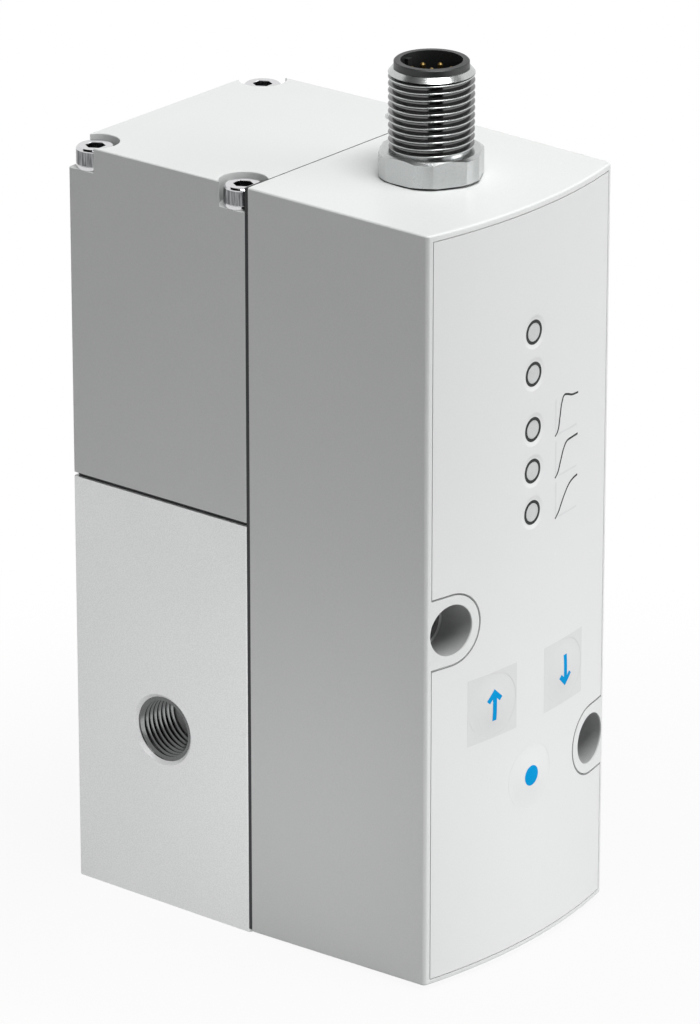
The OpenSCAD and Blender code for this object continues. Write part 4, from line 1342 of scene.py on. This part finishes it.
@dataclass
class Blocks:
    """The valve body, the pilot head and the electronics housing with their edges broken.

    Attributes:
        half_w: Half the width.
        body_z: Height of the valve body.
        top_z: Height of the pilot head.
        module_y: Y of the module's back.
        rear_y: Y of the rear blocks' front.
        back_y: Y of the rear blocks' back.
        corner: Width of the strip that holds the rear blocks' rounded corners.
        flush: Width of the strip that holds their upright edges at the joint.
        case_low: Edges below this run round the housing's underside.
        case_high: Edges above this run round the housing's top.
        seat_r: Radius round the connector's axis in which the edges stay.
        rim: X, lower and upper height past which an edge of the housing's back is an outer one.
        heads_z: Height of the cap screws' heads.
        fine: Width of the valve body's edge breaks and of those at the joint.
        broad: Width of the other edge breaks.
        broad_steps: Faces across those.
        back_w: Width of those at the housing's back.
        screw_w: Width of those on the fasteners.
        upright: Faces whose normal rises less than this are a screw head's side.
    """

    half_w: float = 21 * MM
    body_z: float = 62.2 * MM
    top_z: float = 112 * MM
    module_y: float = 0.6 * MM
    rear_y: float = 0.9 * MM
    back_y: float = 33.25 * MM
    corner: float = 0.55 * MM
    flush: float = 0.05 * MM
    case_low: float = 0.95 * MM
    case_high: float = 111.4 * MM
    seat_r: float = 8 * MM
    rim: tuple[float, float, float] = (20.9 * MM, 0.4 * MM, 111.9 * MM)
    heads_z: float = 108.85 * MM
    fine: float = 0.15 * MM
    broad: float = 0.3 * MM
    broad_steps: int = 3
    back_w: float = 0.12 * MM
    screw_w: float = 0.08 * MM
    upright: float = 0.2

    def build(self) -> None:
        """Builds the three blocks and the fasteners."""
        self.valve_body()
        self.pilot_head()
        self.housing()
        self.fasteners()

    def outside(self, point: Vector) -> bool:
        """Says whether a point of a rear block lies on its outside."""
        return (abs(point.x) > self.half_w - self.corner or point.y < self.rear_y + self.corner
                or point.y > self.back_y - self.corner)

    def at_joint(self, edge: Any) -> bool:
        """Says whether an edge of a rear block is an upright one at the joint with the module."""
        return all(abs(v.co.x) > self.half_w - self.flush and abs(v.co.y - self.rear_y) < ON_PLANE
                   for v in edge.verts)

    def at_ends(self, edge: Any) -> bool:
        """Says whether an edge of the housing runs round its top or its underside.

        Args:
            edge: The edge.

        Returns:
            True if it does.
        """
        spots = [v.co for v in edge.verts]
        if all(p.z < self.case_low for p in spots):
            return True
        high = all(p.z > self.case_high and math.hypot(p.x, p.y - PLUG_Y) > self.seat_r for p in spots)
        return high and any(p.y < self.module_y - ON_PLANE for p in spots)

    def at_back(self, edge: Any) -> bool:
        """Says whether an edge of the housing runs round the outside of its back.

        Args:
            edge: The edge.

        Returns:
            True if it does.
        """
        x, low, high = self.rim
        return all(v.co.y > self.module_y - ON_PLANE and (abs(v.co.x) > x or not low <= v.co.z <= high)
                   for v in edge.verts)

    def valve_body(self) -> None:
        """Breaks the valve body's edges."""
        obj = Bench.copy_of("valve_body", "valve_block")
        Bench.soften(obj, self.fine, lambda e: all(self.outside(v.co) for v in e.verts) and any(
            all(abs(v.co.z - z) < ON_PLANE for v in e.verts) for z in (0.0, self.body_z)))
        Bench.soften(obj, self.fine, self.at_joint)
        Bench.finish(obj, Finishes.ALUMINIUM, Body.BASE, ("valve_body",))

    def pilot_head(self) -> None:
        """Breaks the pilot head's edges."""
        obj = Bench.copy_of("pilot_head", "pilot_block")
        Bench.soften(obj, self.broad, lambda e: all(abs(v.co.z - self.top_z) < ON_PLANE for v in e.verts),
                     self.broad_steps)
        Bench.soften(obj, self.fine, self.at_joint)
        Bench.finish(obj, Finishes.PLASTIC, Body.BASE, ("pilot_head",))

    def housing(self) -> None:
        """Breaks the electronics housing's outer edges."""
        obj = Bench.copy_of("electronics_housing", "electronics_case")
        Bench.soften(obj, self.broad, self.at_ends, self.broad_steps)
        Bench.soften(obj, self.back_w, self.at_back)
        Bench.finish(obj, Finishes.PLASTIC, Body.BASE, ("electronics_housing",))

    def fasteners(self) -> None:
        """Breaks the edges of the cap screws and lock washers, and gives the heads' sides the knurled finish,
        darker as painted shade.
        """
        for node, name, low in (("head_screws", "cap_screws", self.heads_z),
                                ("lock_washers", "spring_washers", 0.0)):
            obj = Bench.copy_of(node, name)
            Bench.soften(obj, self.screw_w, lambda e: all(v.co.z > low for v in e.verts))
            Bench.finish(obj, Finishes.STEEL, Body.BASE, (node,))
            if node == "head_screws":
                Bench.second(obj, Finishes.KNURL,
                             lambda f: f.center.z > low and abs(f.normal.z) < self.upright)


@dataclass
class Seam:
    """The gasket's dark rubber lip, flush in the joint between the module and the rear blocks, where it also
    stands in as painted shadow of the joint's groove.

    Attributes:
        half_w: Half its width.
        low: Height of its lower end.
        high: Height of its upper end.
        front: Y of its front.
        back: Y of its back.
        wall: Thickness of the lip.
        THROUGH: Depth of the cutter in depths of the plate.
    """

    half_w: float = 20.96 * MM
    low: float = 0.6 * MM
    high: float = 111.98 * MM
    front: float = 0.55 * MM
    back: float = 1.15 * MM
    wall: float = 0.3 * MM

    THROUGH = 4

    def build(self) -> None:
        """Cuts the inside out of a thin plate."""
        depth = self.back - self.front
        obj = self.plate("joint_shadow_lip", 0.0, depth)
        Bench.combine(obj, self.plate("lip_cutter", self.wall, self.THROUGH * depth), "DIFFERENCE")
        Bench.finish(obj, Finishes.RUBBER, Body.BASE)

    def plate(self, name: str, inset: float, depth: float) -> bpy.types.Object:
        """Makes an upright plate in the joint.

        Args:
            name: Its name.
            inset: How far its edges stand back.
            depth: Its thickness.

        Returns:
            The plate.
        """
        return Bench.start(name, bpy.ops.mesh.primitive_cube_add, size=1.0,
                           sides=(2 * (self.half_w - inset), depth, self.high - self.low - 2 * inset),
                           location=(0, (self.front + self.back) / 2, (self.low + self.high) / 2))


@dataclass
class Studio:
    """Camera, floor and soft light.

    Attributes:
        place: Place of the camera.
        azimuth: Turn of the camera from looking along Y, in degrees.
        elevation: Its tilt down, in degrees.
        lens: Focal length, in millimetres.
        sensor: Long side of the camera's sensor, in millimetres.
        sight: How far the camera sees.
        floor: Half the size of the floor.
        white_from: Radius from which the floor turns plain white to the camera.
        white_by: Radius at which it is plain white.
        shade: Share of plain white inside the first radius.
        floor_colour: Colour of the floor under the light.
        card_colour: Colour of the dark cards.
        fill: Strength of the world's light.
        WHITE: Colour of the background and of the world's light.
        LAMPS: Name, place, aim, size and power in watts of each soft box.
        CARDS: Name, place, aim and size of each dark card.
    """

    place: Place = (-0.66765, -0.54042, 0.39434)
    azimuth: float = -51.033
    elevation: float = 21.363
    lens: float = 228.78
    sensor: float = 36.0
    sight: float = 30.0
    floor: float = 6.0
    white_from: float = 0.045
    white_by: float = 0.135
    shade: float = 0.93
    floor_colour: Colour = (0.42, 0.42, 0.42)
    card_colour: Colour = (0.03, 0.03, 0.03)
    fill: float = 0.12

    WHITE = (1.0, 1.0, 1.0)
    LAMPS = (("top_softbox", (-0.08, -0.34, 1.2), (0, 0, 0.06), 0.7, 15.0),
             ("front_softbox", (0.55, -1.0, 0.35), (0, 0, 0.06), 0.7, 6.2),
             ("low_front_softbox", (-0.004, -0.095, 0.012), (-0.004, -0.03, 0.02), 0.05, 0.0105),
             ("low_left_softbox", (-0.075, -0.005, 0.012), (-0.02, 0.0, 0.02), 0.04, 0.0078))
    CARDS = (("dark_ceiling", (0, 0, 1.7), (0, 0, 0), (3.0, 3.0)),
             ("dark_flag", (-0.096, -0.128, 0.15), (0, 0, 0.15), (0.12, 0.3)))

    def build(self) -> None:
        """Builds the studio."""
        scene = bpy.context.scene
        scene.view_settings.view_transform = "Standard"
        self.camera(scene)
        self.world(scene)
        self.ground()
        for lamp in self.LAMPS:
            self.lamp(*lamp)
        for card in self.CARDS:
            self.card(*card)

    def camera(self, scene: bpy.types.Scene) -> None:
        """Sets the camera at the photograph's viewing angle.

        Args:
            scene: The scene.
        """
        data = bpy.data.cameras.new("camera")
        data.lens = self.lens
        data.sensor_width = self.sensor
        data.sensor_fit = "AUTO"
        data.clip_end = self.sight
        camera = bpy.data.objects.new("camera", data)
        camera.location = self.place
        camera.rotation_euler = (math.radians(90 - self.elevation), 0, math.radians(self.azimuth))
        scene.collection.objects.link(camera)
        scene.camera = camera

    @staticmethod
    def seen(graph: Graph) -> bpy.types.NodeSocket:
        """Adds a mask of the rays that show the plain background: camera, glossy and transmission rays.

        Args:
            graph: The graph to add it to.

        Returns:
            The mask's socket.
        """
        path = graph.add("ShaderNodeLightPath")
        sharp = graph.math("MAXIMUM", path.outputs["Is Glossy Ray"], path.outputs["Is Transmission Ray"])
        return graph.math("MAXIMUM", path.outputs["Is Camera Ray"], sharp)

    def world(self, scene: bpy.types.Scene) -> None:
        """Lights the scene softly from all round, white to the camera.

        Args:
            scene: The scene.
        """
        scene.world = scene.world or bpy.data.worlds.new("studio")
        scene.world.use_nodes = True
        graph = Graph(scene.world.node_tree)
        strength = graph.ramp(self.seen(graph), 0.0, 1.0, self.fill, 1.0)
        light = graph.add("ShaderNodeBackground", Color=self.WHITE, Strength=strength)
        graph.add("ShaderNodeOutputWorld", Surface=light.outputs[0])

    def ground(self) -> None:
        """Lays the pale floor, which keeps the shadow close to the regulator and is white further out."""
        floor = Bench.start("floor", bpy.ops.mesh.primitive_plane_add, size=2 * self.floor,
                            location=(0, 0, 0))
        material, graph = Graph.material("pale_floor")
        spot = graph.add("ShaderNodeTexCoord").outputs["Object"]
        reach = graph.add("ShaderNodeVectorMath", {"operation": "LENGTH"}, i0=spot).outputs["Value"]
        far = graph.ramp(reach, self.white_from, self.white_by, self.shade, 1.0)
        matt = graph.add("ShaderNodeBsdfDiffuse", Color=self.floor_colour)
        plain = graph.add("ShaderNodeEmission", Color=self.WHITE, Strength=1.0)
        share = graph.math("MULTIPLY", far, self.seen(graph))
        mix = graph.add("ShaderNodeMixShader", i0=share, i1=matt.outputs[0], i2=plain.outputs[0])
        graph.add("ShaderNodeOutputMaterial", Surface=mix.outputs[0])
        floor.data.materials.append(material)

    @staticmethod
    def turn(place: Place, aim: Place) -> Quaternion:
        """Gives the turn of something at a place that faces a point."""
        return (Vector(aim) - Vector(place)).to_track_quat("-Z", "Y")

    def card(self, name: str, place: Place, aim: Place, size: tuple[float, float]) -> None:
        """Hangs one dark card, which only the shine of the surfaces shows.

        Args:
            name: Its name.
            place: Its place.
            aim: The point that it faces.
            size: Its width and height.
        """
        turn = self.turn(place, aim).to_matrix().to_4x4()
        card = Bench.start(name, bpy.ops.mesh.primitive_plane_add, size=1.0, sides=(*size, 1.0))
        card.data.transform(Matrix.Translation(place) @ turn)
        material, graph = Graph.material(name)
        matt = graph.add("ShaderNodeBsdfDiffuse", Color=self.card_colour)
        graph.add("ShaderNodeOutputMaterial", Surface=matt.outputs[0])
        card.data.materials.append(material)
        card.visible_camera = card.visible_diffuse = card.visible_shadow = False

    def lamp(self, name: str, place: Place, aim: Place, size: float, power: float) -> None:
        """Hangs one soft box.

        Args:
            name: Its name.
            place: Its place.
            aim: The point that it faces.
            size: Length of its sides.
            power: Its power in watts.
        """
        data = bpy.data.lights.new(name, "AREA")
        data.shape = "SQUARE"
        data.size = size
        data.energy = power
        lamp = bpy.data.objects.new(name, data)
        lamp.location = place
        lamp.rotation_euler = self.turn(place, aim).to_euler()
        lamp.visible_camera = False
        bpy.context.scene.collection.objects.link(lamp)


def dress_nodes() -> None:
    """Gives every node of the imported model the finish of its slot."""
    slots = {row["node"]: row["material_slot"] for row in frame["record"]["subparts"]}
    for name, node in frame["nodes"].items():
        node.data.materials.clear()
        node.data.materials.append(Finishes.BY_SLOT[slots[name]].material())
        Bench.take(node)
        bpy.ops.object.shade_smooth_by_angle(angle=math.radians(SMOOTH))
        LOG.info("node %s in %s", name, slots[name])


def main() -> None:
    """Builds the regulator's pieces and the studio in order."""
    logging.basicConfig(level=logging.INFO, format="%(name)s: %(message)s")
    Studio().build()
    dress_nodes()
    Blocks().build()
    Seam().build()
    PlugConnector().build()
    PortThreads().build()
    front = Front()
    prints = Prints(front)
    foil = Foil(front, prints.lights)
    foil.build()
    Pockets(front, foil.notches).build()
    prints.build(foil)
    Keys(front).build()
    Springs().build()


if __name__ == "__main__":
    main()
